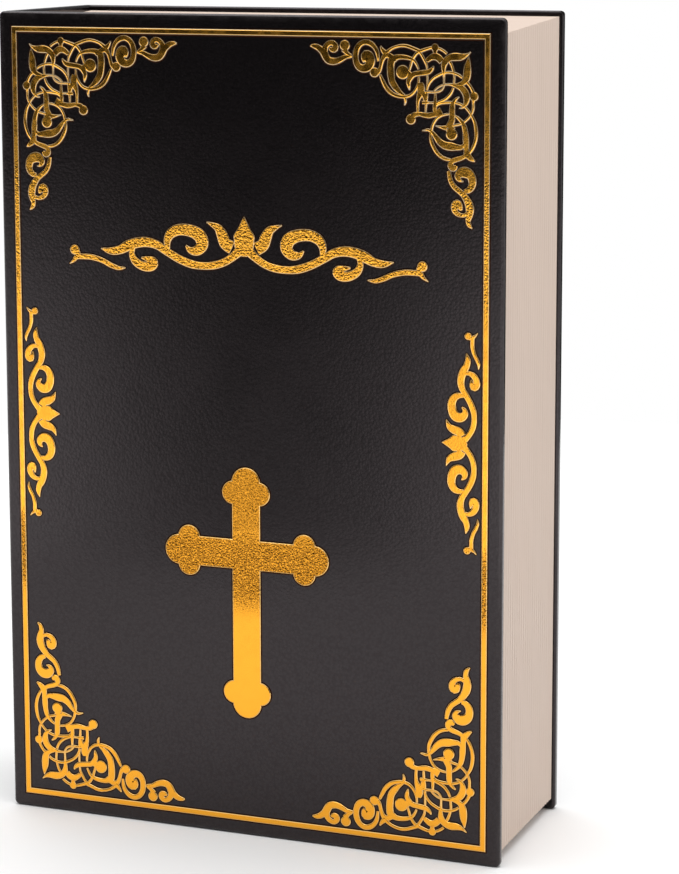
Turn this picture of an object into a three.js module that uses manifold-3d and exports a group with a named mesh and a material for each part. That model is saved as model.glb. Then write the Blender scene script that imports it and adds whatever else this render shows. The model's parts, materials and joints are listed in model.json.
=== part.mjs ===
// Book diversion safe: a bound cover that hides a locking steel box behind a moulded page frame.
// Millimetres, +Z up the height of the book, front cover facing -Y, spine on the -X side.
import * as THREE from "three";
import { mergeVertices } from "three/addons/utils/BufferGeometryUtils.js";
import Module from "manifold-3d";

const wasm = await Module();
wasm.setup();

// Driving dimensions
const width = 155;
const depth = 57;
const height = 240;

// Clearances: between loose neighbours, and between faces laid flat on one another
const fit = 0.3;
const seat = 0.1;

// Case: boards wrapped in leathercloth, with foil pressed on the front
const cover = { thick: 3, skin: 0.4, turnIn: 12, corner: 1.5, edge: 0.9 };
const foil = { thick: 0.25, inset: 4.2, band: 1.7 };
const cross = { top: 110.2, bottom: 35.5, bar: 8.8, armHeight: 84.4, armSpan: 51.4 };
const bud = { end: 4.5, lobe: 3.5, lobeBack: 7.6, lobeOut: 4.0 };

// Page frame: a three-sided moulding with grooves that read as leaves, its head rising to the back
const pages = { square: 3.5, foreSquare: 1, wall: 3, ledge: 8, ledgeThick: 1.5 };
const head = { frontSquare: 4.3, backSquare: 1.6 };
const groove = { pitch: 2.1, wide: 0.9, deep: 0.45, margin: 1.15 };

// Strongbox and lid: folded sheet
const sheet = 1;
const bend = 0.8;
const box = { recess: 4.2, lip: 7, foreLip: 8, hingeLip: 4.7, flange: 11.7 };
const lidDims = { gap: 0.5, skirt: 4, skirtStart: 6.6 };

// Piano hinge
const hinge = { knuckle: 2.25, bore: 1.35, leaf: 1, wing: 8.6, knuckles: 11, fromLip: 2.9 };
const hingeEnd = { inset: 5.7, head: 1.9, neck: 1.4, headHigh: 1.2 };

// Fixings through the strongbox floor
const rivet = { shank: 1.9, head: 4, headHigh: 1.6, tail: 3.2, tailHigh: 0.7, inX: 22, inZ: 28 };

// Cam lock
const lock = {
  fromEdge: 11.7,
  bezel: 10,
  bezelFront: 7.2,
  bezelHigh: 3,
  rim: 0.5,
  body: 7.5,
  markWide: 1,
  markDeep: 0.7,
};
const barrel = { length: 12, plug: 6.2, bore: 6.45, flat: 7.05, recess: 0.3 };
const keyway = { long: 8, high: 2, eye: 2.25, deep: 9.2, wall: 1.2 };
const wafer = { count: 4, pitch: 1.9, first: 2.1, thick: 0.7, play: 0.2, halfX: 5.2, halfZ: 2.9 };
const nut = { across: 19, thick: 3, washer: 10.2, washerThick: 1 };
const cam = { thick: 1.5, reach: 17.2, hub: 6.5, tip: 5, tang: 6 };
const camFixing = { screw: 1.5, head: 3.2, headHigh: 2, deep: 4, washer: 5.2, washerThick: 0.8 };

// Planes that several pieces share
const halfW = width / 2;
const halfD = depth / 2;
const frontInner = -halfD + cover.thick;
const backInner = halfD - cover.thick;
const spineInner = -halfW + cover.thick;
const frame = {
  x0: spineInner + fit,
  x1: halfW - pages.foreSquare,
  y0: frontInner + fit,
  y1: backInner - fit,
  z0: pages.square,
  z1: height - pages.square,
};
const shell = {
  x0: spineInner + fit,
  x1: frame.x1 - pages.wall - fit,
  y0: frame.y0 + box.recess,
  y1: frame.y1 - pages.ledgeThick - fit,
  z0: frame.z0 + pages.wall + fit,
  z1: frame.z1 - pages.wall - fit,
};
const mouth = {
  x0: shell.x0 + box.hingeLip,
  x1: shell.x1 - box.foreLip,
  z0: shell.z0 + box.lip,
  z1: shell.z1 - box.lip,
};
const axis = {
  x: mouth.x0 + hinge.fromLip,
  y: shell.y0 + sheet + seat + hinge.leaf - hinge.knuckle,
};
const door = {
  x0: axis.x + hinge.knuckle + fit,
  x1: mouth.x1 - lidDims.gap,
  z0: mouth.z0 + lidDims.gap,
  z1: mouth.z1 - lidDims.gap,
};
const hingeLength = door.z1 - door.z0 - 2 * hingeEnd.inset;
const midZ = height / 2;
const lockX = door.x1 - lock.fromEdge;
const bezelSeat = shell.y0 - seat;
const bezelFace = bezelSeat - lock.bezelHigh;
const barrelEnd = bezelSeat + barrel.length;
const camFace = barrelEnd + fit;
const camBack = camFace + cam.thick;

const group = new THREE.Group();
group.name = "book_diversion_safe";

// Geometry helpers

function toSolid(geometry) {
  const bare = geometry.clone();
  bare.deleteAttribute("normal");
  bare.deleteAttribute("uv");
  const welded = mergeVertices(bare, 1e-4);
  const index = welded.index.array;
  const faces = [];
  for (let i = 0; i < index.length; i += 3) {
    const [a, b, c] = index.slice(i, i + 3);
    if (a !== b && b !== c && c !== a) faces.push(a, b, c);
  }
  const mesh = new wasm.Mesh({
    numProp: 3,
    vertProperties: new Float32Array(welded.attributes.position.array),
    triVerts: new Uint32Array(faces),
  });
  return new wasm.Manifold(mesh);
}

function toGeometry(solid) {
  const mesh = solid.getMesh();
  const geometry = new THREE.BufferGeometry();
  geometry.setAttribute("position", new THREE.BufferAttribute(mesh.vertProperties, 3));
  geometry.setIndex(new THREE.BufferAttribute(mesh.triVerts, 1));
  geometry.computeVertexNormals();
  return geometry;
}

function join(...geometries) {
  return toGeometry(wasm.Manifold.union(geometries.map(toSolid)));
}

function cut(geometry, ...tools) {
  const tool = wasm.Manifold.union(tools.map(toSolid));
  return toGeometry(toSolid(geometry).subtract(tool));
}

function overlap(a, b) {
  return toGeometry(toSolid(a).intersect(toSolid(b)));
}

function block(x0, x1, y0, y1, z0, z1) {
  const geometry = new THREE.BoxGeometry(x1 - x0, y1 - y0, z1 - z0);
  return geometry.translate((x0 + x1) / 2, (y0 + y1) / 2, (z0 + z1) / 2);
}

function roundedRect(x0, x1, z0, z1, r) {
  const shape = new THREE.Shape();
  shape.moveTo(x0 + r, z0);
  shape.lineTo(x1 - r, z0);
  shape.absarc(x1 - r, z0 + r, r, -Math.PI / 2, 0);
  shape.lineTo(x1, z1 - r);
  shape.absarc(x1 - r, z1 - r, r, 0, Math.PI / 2);
  shape.lineTo(x0 + r, z1);
  shape.absarc(x0 + r, z1 - r, r, Math.PI / 2, Math.PI);
  shape.lineTo(x0, z0 + r);
  shape.absarc(x0 + r, z0 + r, r, Math.PI, 1.5 * Math.PI);
  return shape;
}

// A shape drawn in (x, z) and given thickness from y0 to y1, with its edges eased by `ease`.
function slab(shape, y0, y1, ease = 0, curveSegments = 4) {
  const geometry = new THREE.ExtrudeGeometry(shape, {
    depth: y1 - y0 - 2 * ease,
    bevelEnabled: ease > 0,
    bevelThickness: ease,
    bevelSize: ease,
    bevelOffset: -ease,
    bevelSegments: 3,
    curveSegments,
  });
  return geometry.rotateX(Math.PI / 2).translate(0, y1 - ease, 0);
}

// A closed profile of [radius, y] points turned about the Y axis; points on the axis close the ends.
function spin(profile, x, z, segments = 36) {
  const rings = profile.map(([r]) => (r < 1e-9 ? 1 : segments));
  const starts = [];
  const points = [];
  profile.forEach(([r, y], ring) => {
    starts.push(points.length / 3);
    for (let i = 0; i < rings[ring]; i += 1) {
      const a = (i / segments) * 2 * Math.PI;
      points.push(x + r * Math.cos(a), y, z + r * Math.sin(a));
    }
  });
  const open = rings[0] === 1;
  const faces = [];
  const last = open ? profile.length - 1 : profile.length;
  for (let k = 0; k < last; k += 1) {
    const n = (k + 1) % profile.length;
    for (let i = 0; i < segments; i += 1) {
      const j = (i + 1) % segments;
      const a = starts[k] + (rings[k] === 1 ? 0 : i);
      const b = starts[k] + (rings[k] === 1 ? 0 : j);
      const c = starts[n] + (rings[n] === 1 ? 0 : i);
      const d = starts[n] + (rings[n] === 1 ? 0 : j);
      if (a !== b) faces.push(a, c, b);
      if (c !== d) faces.push(b, c, d);
    }
  }
  const geometry = new THREE.BufferGeometry();
  geometry.setAttribute("position", new THREE.Float32BufferAttribute(points, 3));
  geometry.setIndex(faces);
  geometry.computeVertexNormals();
  return geometry;
}

// A tube or rod along Z made from the same turning, moved from the Y axis to a point in plan.
function upright(profile, x, y, segments) {
  return spin(profile, 0, 0, segments).rotateX(Math.PI / 2).translate(x, y, 0);
}

function disc(x, z, r, y0, y1, segments = 36) {
  return spin([[0, y0], [r, y0], [r, y1], [0, y1]], x, z, segments);
}

function add(name, geometry, colour, roughness = 0.6, metalness = 0) {
  const material = new THREE.MeshStandardMaterial({ color: colour, roughness, metalness });
  const mesh = new THREE.Mesh(geometry, material);
  mesh.name = name;
  group.add(mesh);
}

// Case

function coverOutline(margin) {
  const corner = cover.corner - margin;
  return roundedRect(-halfW + margin, halfW - margin, margin, height - margin, corner);
}

function frontCover() {
  const face = -halfD + foil.thick;
  const wrap = slab(coverOutline(0), face, frontInner, cover.edge);
  const pocket = slab(coverOutline(cover.skin), face + cover.skin, frontInner - cover.skin);
  const t = cover.turnIn;
  const opening = block(-halfW + t, halfW - t, frontInner - 1, frontInner + 1, t, height - t);
  add("front_cover_wrap", cut(wrap, pocket, opening), 0x2b2a2c, 0.75);

  const inset = cover.skin + seat;
  const board = slab(coverOutline(inset), face + inset, frontInner - inset);
  add("front_board", board, 0x8a7a64, 0.9);

  const gap = t + fit;
  const paper = block(
    -halfW + gap, halfW - gap, frontInner - cover.skin, frontInner, gap, height - gap,
  );
  add("front_endpaper", paper, 0x1d1c1e, 0.9);
}

// Plan of back cover and spine together, inset by `m` from the finished surface, edges eased by `r`.
function caseProfile(m, r) {
  const left = -halfW + m;
  const right = halfW - m;
  const step = spineInner - m;
  const front = frame.y0 + m;
  const inner = backInner + m;
  const rear = halfD - m;
  const shape = new THREE.Shape();
  shape.moveTo(left + r, front);
  shape.lineTo(step - r, front);
  shape.absarc(step - r, front + r, r, -Math.PI / 2, 0);
  shape.lineTo(step, inner);
  shape.lineTo(right - r, inner);
  shape.absarc(right - r, inner + r, r, -Math.PI / 2, 0);
  shape.lineTo(right, rear - r);
  shape.absarc(right - r, rear - r, r, 0, Math.PI / 2);
  shape.lineTo(left + r, rear);
  shape.absarc(left + r, rear - r, r, Math.PI / 2, Math.PI);
  shape.lineTo(left, front + r);
  shape.absarc(left + r, front + r, r, Math.PI, 1.5 * Math.PI);
  return shape;
}

function casePlate(margin, round) {
  const ease = margin > 0 ? 0 : round * 0.8;
  const plate = new THREE.ExtrudeGeometry(caseProfile(margin, round), {
    depth: height - 2 * margin - 2 * ease,
    bevelEnabled: ease > 0,
    bevelThickness: ease,
    bevelSize: ease,
    bevelOffset: -ease,
    bevelSegments: 3,
    curveSegments: ease > 0 ? 3 : 1,
  });
  plate.translate(0, 0, margin + ease);
  const c = cover.corner - margin;
  const x = halfW - margin - c;
  const top = height - margin - c;
  const corners = new THREE.Shape();
  corners.moveTo(-halfW - 1, -1);
  corners.lineTo(x, -1);
  corners.absarc(x, margin + c, c, -Math.PI / 2, 0);
  corners.lineTo(halfW + 1, margin + c);
  corners.lineTo(halfW + 1, top);
  corners.absarc(x, top, c, 0, Math.PI / 2);
  corners.lineTo(x, height + 1);
  corners.lineTo(-halfW - 1, height + 1);
  return overlap(plate, slab(corners, frame.y0 - 1, halfD + 1));
}

// The part of the inner face that the turned-in edges leave bare.
function bareInside() {
  const t = cover.turnIn;
  const over = cover.skin + 0.5;
  const shape = new THREE.Shape();
  shape.moveTo(spineInner + 1, frame.y0 + 2 * cover.skin);
  shape.lineTo(spineInner + 1, backInner - 1);
  shape.lineTo(halfW - t, backInner - 1);
  shape.lineTo(halfW - t, backInner + over);
  shape.lineTo(spineInner - over, backInner + over);
  shape.lineTo(spineInner - over, frame.y0 + 2 * cover.skin);
  const band = new THREE.ExtrudeGeometry(shape, { depth: height - 2 * t, bevelEnabled: false });
  return band.translate(0, 0, t);
}

function backCase() {
  const s = cover.skin;
  add("case_wrap", cut(casePlate(0, cover.edge), casePlate(s, seat), bareInside()), 0x2b2a2c, 0.75);

  const g = s + seat;
  const spineBoard = block(
    -halfW + g, spineInner - g, frame.y0 + g, backInner + s, g, height - g,
  );
  add("spine_board", spineBoard, 0x8a7a64, 0.9);

  const board = slab(coverOutline(g), backInner + g, halfD - g);
  const holes = [];
  for (const [x, z] of rivetCentres()) {
    holes.push(disc(x, z, rivet.shank + fit, backInner - 1, halfD, 24));
    holes.push(disc(x, z, rivet.tail + fit, rivetTailFace() - seat, halfD, 24));
  }
  add("back_board", cut(board, ...holes), 0x8a7a64, 0.9);
}

function foilBorder() {
  const y0 = -halfD;
  const y1 = y0 + foil.thick;
  const a = foil.inset;
  const b = a + foil.band;
  const outer = block(-halfW + a, halfW - a, y0, y1, a, height - a);
  const inner = block(-halfW + b, halfW - b, y0 - 1, y1 + 1, b, height - b);
  add("foil_border", cut(outer, inner), 0xc9932c, 0.35, 0.9);
}

function foilCross() {
  const y0 = -halfD;
  const y1 = y0 + foil.thick;
  const h = cross.bar / 2;
  const reach = cross.armSpan / 2 - bud.end;
  const pieces = [
    block(-h, h, y0, y1, cross.bottom + bud.end, cross.top - bud.end),
    block(-reach, reach, y0, y1, cross.armHeight - h, cross.armHeight + h),
  ];
  const arms = [
    [0, cross.top, 0, 1],
    [0, cross.bottom, 0, -1],
    [cross.armSpan / 2, cross.armHeight, 1, 0],
    [-cross.armSpan / 2, cross.armHeight, -1, 0],
  ];
  for (const [x, z, dx, dz] of arms) {
    pieces.push(disc(x - dx * bud.end, z - dz * bud.end, bud.end, y0, y1, 36));
    for (const side of [-1, 1]) {
      const lx = x - dx * bud.lobeBack + side * dz * bud.lobeOut;
      const lz = z - dz * bud.lobeBack + side * dx * bud.lobeOut;
      pieces.push(disc(lx, lz, bud.lobe, y0, y1, 28));
    }
  }
  add("foil_cross", join(...pieces), 0xe0a030, 0.35, 0.9);
}

// Page frame: outlines stacked front to back, all with the same eight points

function frameOutline(y, sunk, ledge) {
  const w = pages.wall + ledge;
  const { x0, x1, z0, z1 } = frame;
  const share = (y - frame.y0) / (frame.y1 - frame.y0);
  const top = height - head.frontSquare + share * (head.frontSquare - head.backSquare);
  return [
    [x0, y, z0 + sunk],
    [x1 - sunk, y, z0 + sunk],
    [x1 - sunk, y, top - sunk],
    [x0, y, top - sunk],
    [x0, y, z1 - w],
    [x1 - w, y, z1 - w],
    [x1 - w, y, z0 + w],
    [x0, y, z0 + w],
  ];
}

function frameOutlines() {
  const outlines = [frameOutline(frame.y0, 0, 0)];
  const span = frame.y1 - frame.y0 - 2 * groove.margin;
  const count = Math.round(span / groove.pitch);
  const pitch = span / count;
  const ledgeFace = frame.y1 - pages.ledgeThick;
  let stepped = false;
  for (let i = 0; i < count; i += 1) {
    const mid = frame.y0 + groove.margin + (i + 0.5) * pitch;
    const steps = [[mid - groove.wide / 2, 0], [mid, groove.deep], [mid + groove.wide / 2, 0]];
    for (const [y, sunk] of steps) {
      if (!stepped && y > ledgeFace - 0.05) {
        const depthHere = y - ledgeFace < 0.05 ? sunk : 0;
        outlines.push(frameOutline(ledgeFace, depthHere, 0));
        outlines.push(frameOutline(ledgeFace, depthHere, pages.ledge));
        stepped = true;
        if (Math.abs(y - ledgeFace) < 0.05) continue;
      }
      outlines.push(frameOutline(y, sunk, stepped ? pages.ledge : 0));
    }
  }
  if (!stepped) {
    outlines.push(frameOutline(ledgeFace, 0, 0));
    outlines.push(frameOutline(ledgeFace, 0, pages.ledge));
  }
  outlines.push(frameOutline(frame.y1, 0, pages.ledge));
  return outlines;
}

function loft(outlines) {
  const n = outlines[0].length;
  const faces = [];
  for (let k = 0; k + 1 < outlines.length; k += 1) {
    for (let i = 0; i < n; i += 1) {
      const j = (i + 1) % n;
      const a = k * n + i;
      const b = k * n + j;
      faces.push(a, b + n, b, a, a + n, b + n);
    }
  }
  const flat = outlines[0].map(([x, , z]) => new THREE.Vector2(x, z));
  const cap = THREE.ShapeUtils.triangulateShape(flat, []);
  const back = outlines[outlines.length - 1].map(([x, , z]) => new THREE.Vector2(x, z));
  const backCap = THREE.ShapeUtils.triangulateShape(back, []);
  const end = (outlines.length - 1) * n;
  for (const [a, b, c] of cap) faces.push(a, b, c);
  for (const [a, b, c] of backCap) faces.push(end + a, end + c, end + b);
  const geometry = new THREE.BufferGeometry();
  geometry.setAttribute("position", new THREE.Float32BufferAttribute(outlines.flat(2), 3));
  geometry.setIndex(faces);
  geometry.computeVertexNormals();
  return geometry;
}

function pageFrame() {
  add("page_frame", toGeometry(toSolid(loft(frameOutlines()))), 0xe6d9c4, 0.7);
  const edge = pages.wall + pages.ledge + fit;
  const pad = block(
    frame.x0, frame.x1 - edge, shell.y1 + fit, backInner + cover.skin, frame.z0 + edge, frame.z1 - edge,
  );
  const holes = rivetCentres().map(([x, z]) => disc(x, z, rivet.shank + fit, frame.y0, halfD, 24));
  add("backing_pad", cut(pad, ...holes), 0x77705f, 0.9);
}

// Strongbox

function rivetCentres() {
  const xs = [shell.x0 + rivet.inX, shell.x1 - rivet.inX];
  const zs = [shell.z0 + rivet.inZ, shell.z1 - rivet.inZ];
  return xs.flatMap((x) => zs.map((z) => [x, z]));
}

function rivetTailFace() {
  return halfD - cover.skin - seat - rivet.tailHigh - seat;
}

function strongbox() {
  const { x0, x1, y0, y1, z0, z1 } = shell;
  const s = sheet;
  const outer = slab(roundedRect(x0, x1, z0, z1, bend * 1.5), y0, y1, bend, 3);
  const inner = block(x0 + s, x1 - s, y0 + s, y1 - s, z0 + s, z1 - s);
  const opening = block(mouth.x0, mouth.x1, y0 - 1, y0 + 2 * s, mouth.z0, mouth.z1);
  const holes = rivetCentres().map(([x, z]) => disc(x, z, rivet.shank + fit, y1 - 3, y1 + 1, 24));
  const folded = cut(outer, inner, opening, ...holes);
  const flange = block(mouth.x1, mouth.x1 + s, y0 + s / 2, y0 + box.flange, mouth.z0, mouth.z1);
  add("strongbox", join(folded, flange), 0x1c1c1e, 0.5, 0.4);
}

function rivets() {
  const under = shell.y1 - sheet - seat;
  const top = under - rivet.headHigh;
  const tail = rivetTailFace();
  const profile = [
    [0, top],
    [rivet.head * 0.45, top + rivet.headHigh * 0.12],
    [rivet.head * 0.8, top + rivet.headHigh * 0.42],
    [rivet.head, under],
    [rivet.shank, under],
    [rivet.shank, tail],
    [rivet.tail, tail],
    [rivet.tail, tail + rivet.tailHigh],
    [0, tail + rivet.tailHigh],
  ];
  rivetCentres().forEach(([x, z], i) => {
    add(`rivet_${i + 1}`, spin(profile, x, z, 24), 0xa8a8a8, 0.4, 0.9);
  });
}

// Lid and piano hinge

function lid() {
  const s = sheet;
  const { x0, x1, z0, z1 } = door;
  const y0 = shell.y0;
  const back = y0 + lidDims.skirt + s;
  const start = axis.x + lidDims.skirtStart;
  const plate = cut(
    slab(roundedRect(x0, x1, z0, z1, bend * 1.5), y0, back, bend, 3),
    block(x0 - 1, x1 - s, y0 + s, back + 1, z0 + s, z1 - s),
    block(x0 - 2, start, y0 + s, back + 2, z0 - 1, z1 + 1),
  );
  const hole = lock.body + fit;
  const round = disc(lockX, midZ, hole, y0 - s, y0 + 2 * s, 36);
  const flat = barrel.flat + fit;
  const slot = block(lockX - flat, lockX + flat, y0 - 2 * s, y0 + 3 * s, midZ - 2 * hole, midZ + 2 * hole);
  add("lid", cut(plate, overlap(round, slot)), 0x202022, 0.45, 0.4);
}

// Leaf with every second knuckle: side -1 is fixed to the strongbox, side +1 carries the lid.
function hingeLeaf(side) {
  const pitch = hingeLength / hinge.knuckles;
  const start = midZ - hingeLength / 2;
  const front = axis.y + hinge.knuckle - hinge.leaf;
  const rear = axis.y + hinge.knuckle;
  const wing = side < 0 ? axis.x - shell.x0 - sheet - fit : hinge.wing;
  const near = hinge.knuckle + fit;
  const span = (a, b) => [axis.x + Math.min(side * a, side * b), axis.x + Math.max(side * a, side * b)];
  const pieces = [block(...span(near, wing), front, rear, start, start + hingeLength)];
  const bores = [];
  for (let i = side < 0 ? 0 : 1; i < hinge.knuckles; i += 2) {
    const z0 = start + i * pitch + fit / 2;
    const z1 = start + (i + 1) * pitch - fit / 2;
    pieces.push(block(...span(0, near + 0.5), front, rear, z0, z1));
    pieces.push(rod(hinge.knuckle, z0, z1, 24));
    bores.push(rod(hinge.bore, z0 - 1, z1 + 1, 24));
  }
  return cut(join(...pieces), ...bores);
}

function rod(r, z0, z1, segments) {
  const profile = [[0, z0], [r, z0], [r, z1], [0, z1]];
  return upright(profile, axis.x, axis.y, segments);
}

function pianoHinge() {
  add("hinge_leaf_box", hingeLeaf(-1), 0x2a2a2c, 0.4, 0.6);
  add("hinge_leaf_lid", hingeLeaf(1), 0x2a2a2c, 0.4, 0.6);
  const r = hinge.bore - fit;
  const end = hingeLength / 2 + fit;
  const { head, neck, headHigh } = hingeEnd;
  const profile = [
    [0, midZ - end - headHigh],
    [neck, midZ - end - headHigh],
    [head, midZ - end - headHigh / 2],
    [head, midZ - end],
    [r, midZ - end],
    [r, midZ + end],
    [head, midZ + end],
    [head, midZ + end + headHigh / 2],
    [neck, midZ + end + headHigh],
    [0, midZ + end + headHigh],
  ];
  add("hinge_pin", upright(profile, axis.x, axis.y, 24), 0x8f8f92, 0.35, 0.9);
}

// Cam lock

function lockHousing() {
  const profile = [
    [barrel.bore, bezelFace],
    [lock.bezelFront, bezelFace],
    [lock.bezel, bezelSeat - lock.rim],
    [lock.bezel, bezelSeat],
    [lock.body, bezelSeat],
    [lock.body, barrelEnd],
    [barrel.bore, barrelEnd],
  ];
  const turned = spin(profile, lockX, midZ, 48);
  const f = barrel.flat;
  const far = 2 * lock.body;
  const half = lock.markWide / 2;
  const markEnd = bezelFace + lock.markDeep;
  const markTop = midZ + (lock.bezelFront + lock.bezel) / 2;
  const markFoot = midZ + lock.bezelFront - lock.markDeep;
  return cut(
    turned,
    block(lockX - far, lockX - f, bezelSeat, barrelEnd + 1, midZ - far, midZ + far),
    block(lockX + f, lockX + far, bezelSeat, barrelEnd + 1, midZ - far, midZ + far),
    block(lockX - half, lockX + half, bezelFace - 1, markEnd, markFoot, markTop),
  );
}

function waferCentre(i) {
  return bezelFace + barrel.recess + wafer.first + i * wafer.pitch;
}

function lockPlug() {
  const face = bezelFace + barrel.recess;
  const shoulder = camFace - seat;
  const tang = camBack - seat;
  const keyEnd = face + keyway.deep;
  const t = cam.tang / 2;
  const body = join(
    disc(lockX, midZ, barrel.plug, face, shoulder, 48),
    block(lockX - t, lockX + t, shoulder - 1, tang, midZ - t, midZ + t),
  );
  const kx = keyway.long / 2;
  const kz = keyway.high / 2;
  const cuts = [
    block(lockX - kx, lockX + kx, face - 1, keyEnd, midZ - kz, midZ + kz),
    disc(lockX, midZ, keyway.eye, face - 1, keyEnd, 28),
    disc(lockX, midZ, camFixing.screw + fit, keyEnd + keyway.wall, tang + 1, 24),
  ];
  for (let i = 0; i < wafer.count; i += 1) {
    const y = waferCentre(i);
    const h = wafer.thick / 2 + wafer.play;
    const z = wafer.halfZ + fit;
    const x = barrel.plug + fit;
    cuts.push(block(lockX - x, lockX + x, y - h, y + h, midZ - z, midZ + z));
  }
  return cut(body, ...cuts);
}

function wafers() {
  for (let i = 0; i < wafer.count; i += 1) {
    const y = waferCentre(i);
    const h = wafer.thick / 2;
    const { halfX, halfZ } = wafer;
    const plate = block(lockX - halfX, lockX + halfX, y - h, y + h, midZ - halfZ, midZ + halfZ);
    const wx = keyway.long / 2 + fit;
    const wz = keyway.high / 2 + fit;
    const window = block(lockX - wx, lockX + wx, y - 1, y + 1, midZ - wz, midZ + wz);
    add(`wafer_${i + 1}`, cut(plate, window), 0xb9974a, 0.35, 0.9);
  }
}

function lockNutAndWasher() {
  const y0 = shell.y0 + sheet + seat;
  const y1 = y0 + nut.washerThick;
  const hole = lock.body + fit;
  const washer = cut(disc(lockX, midZ, nut.washer, y0, y1), disc(lockX, midZ, hole, y0 - 1, y1 + 1));
  add("lock_washer", washer, 0xb0b0b0, 0.35, 0.9);
  const n0 = y1 + seat;
  const n1 = n0 + nut.thick;
  const across = nut.across / 2 / Math.cos(Math.PI / 6);
  const hexagon = new THREE.Shape();
  for (let i = 0; i < 6; i += 1) {
    const a = Math.PI / 6 + (i * Math.PI) / 3;
    const x = lockX + across * Math.cos(a);
    const z = midZ + across * Math.sin(a);
    if (i === 0) hexagon.moveTo(x, z);
    else hexagon.lineTo(x, z);
  }
  const hex = cut(slab(hexagon, n0, n1), disc(lockX, midZ, hole, n0 - 1, n1 + 1));
  add("lock_nut", hex, 0xb0b0b0, 0.35, 0.9);
}

function camPieces() {
  const arm = cam.reach - cam.tip;
  const t = cam.tang / 2 + fit;
  const plate = join(
    disc(lockX, midZ, cam.hub, camFace, camBack),
    disc(lockX, midZ + arm, cam.tip, camFace, camBack),
    block(lockX - cam.tip, lockX + cam.tip, camFace, camBack, midZ, midZ + arm),
  );
  const hole = block(lockX - t, lockX + t, camFace - 1, camBack + 1, midZ - t, midZ + t);
  add("lock_cam", cut(plate, hole), 0xa9a9ab, 0.35, 0.9);

  const { screw, head, headHigh, deep } = camFixing;
  const w0 = camBack + seat;
  const w1 = w0 + camFixing.washerThick;
  const washer = cut(
    disc(lockX, midZ, camFixing.washer, w0, w1),
    disc(lockX, midZ, screw + fit, w0 - 1, w1 + 1, 24),
  );
  add("cam_washer", washer, 0xb4b4b6, 0.35, 0.9);

  const under = w1 + seat;
  const top = under + headHigh;
  const profile = [
    [0, camFace - deep],
    [screw * 0.7, camFace - deep],
    [screw, camFace - deep + screw * 0.4],
    [screw, under],
    [head, under],
    [head, under + headHigh * 0.6],
    [head * 0.75, top],
    [0, top],
  ];
  const half = head * 0.11;
  const long = head * 0.55;
  const driver = cut(
    spin(profile, lockX, midZ, 28),
    block(lockX - half, lockX + half, top - headHigh / 2, top + 1, midZ - long, midZ + long),
    block(lockX - long, lockX + long, top - headHigh / 2, top + 1, midZ - half, midZ + half),
  );
  add("cam_screw", driver, 0x9c9c9e, 0.35, 0.9);
}

frontCover();
backCase();
foilBorder();
foilCross();
pageFrame();
strongbox();
rivets();
lid();
pianoHinge();
add("lock_housing", lockHousing(), 0xd0d0d2, 0.2, 1);
add("lock_plug", lockPlug(), 0x4a4a4e, 0.35, 0.8);
wafers();
lockNutAndWasher();
camPieces();

export default group;
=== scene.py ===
"""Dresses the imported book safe: leathercloth, stamped foil, leaves, coated steel, and the studio round it."""

from __future__ import annotations

import json
import logging
import math
from collections.abc import Callable
from dataclasses import dataclass, field
from enum import Enum

import bmesh
import bpy
from mathutils import Matrix, Vector


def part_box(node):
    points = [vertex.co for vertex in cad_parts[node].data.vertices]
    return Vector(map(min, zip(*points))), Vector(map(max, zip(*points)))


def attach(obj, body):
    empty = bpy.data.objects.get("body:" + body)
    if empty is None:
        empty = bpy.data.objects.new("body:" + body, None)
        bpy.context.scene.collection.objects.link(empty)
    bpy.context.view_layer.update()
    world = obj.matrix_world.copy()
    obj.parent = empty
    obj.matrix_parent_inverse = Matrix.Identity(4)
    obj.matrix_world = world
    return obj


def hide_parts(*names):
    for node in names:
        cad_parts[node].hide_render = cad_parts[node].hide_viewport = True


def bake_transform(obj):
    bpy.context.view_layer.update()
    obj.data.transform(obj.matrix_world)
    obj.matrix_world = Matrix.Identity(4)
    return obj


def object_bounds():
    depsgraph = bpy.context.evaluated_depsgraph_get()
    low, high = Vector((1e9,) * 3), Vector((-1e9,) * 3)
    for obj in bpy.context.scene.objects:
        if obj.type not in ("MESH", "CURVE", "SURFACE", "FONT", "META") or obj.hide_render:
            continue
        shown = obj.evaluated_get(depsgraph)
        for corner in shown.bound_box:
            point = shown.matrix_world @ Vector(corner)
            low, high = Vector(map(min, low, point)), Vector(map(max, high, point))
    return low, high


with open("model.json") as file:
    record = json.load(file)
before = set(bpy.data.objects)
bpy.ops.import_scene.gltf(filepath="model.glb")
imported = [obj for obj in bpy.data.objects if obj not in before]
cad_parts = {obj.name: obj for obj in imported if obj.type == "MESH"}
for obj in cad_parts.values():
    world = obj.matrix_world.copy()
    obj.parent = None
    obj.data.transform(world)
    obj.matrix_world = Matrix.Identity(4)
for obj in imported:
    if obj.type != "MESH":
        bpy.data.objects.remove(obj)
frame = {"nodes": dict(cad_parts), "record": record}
CAD_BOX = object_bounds()

LOG = logging.getLogger("book_safe")
MM = 0.001

# The foil's attribute is 0 inside, 1 at the foot of its shoulder and 2 at the foot of its skirt; the foil's
# finish paints its highlight and its shadow line by it.
RIM = "rim"

# Distances in metres under which two points are one, and a point stands on a level.
SAME = 1e-6
ON_LEVEL = 1e-5

Colour = tuple[float, float, float]
Point = tuple[float, float, float]
Span = tuple[float, float]
Socket = bpy.types.NodeSocket

# A node's input takes a socket to link or a plain value.
Feed = Socket | bpy.types.Material | Vector | Point | float | bool | str


class Body(str, Enum):
    """The bodies of the safe that a piece can ride on."""

    CASE = "case"
    COVER = "front_cover"


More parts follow.
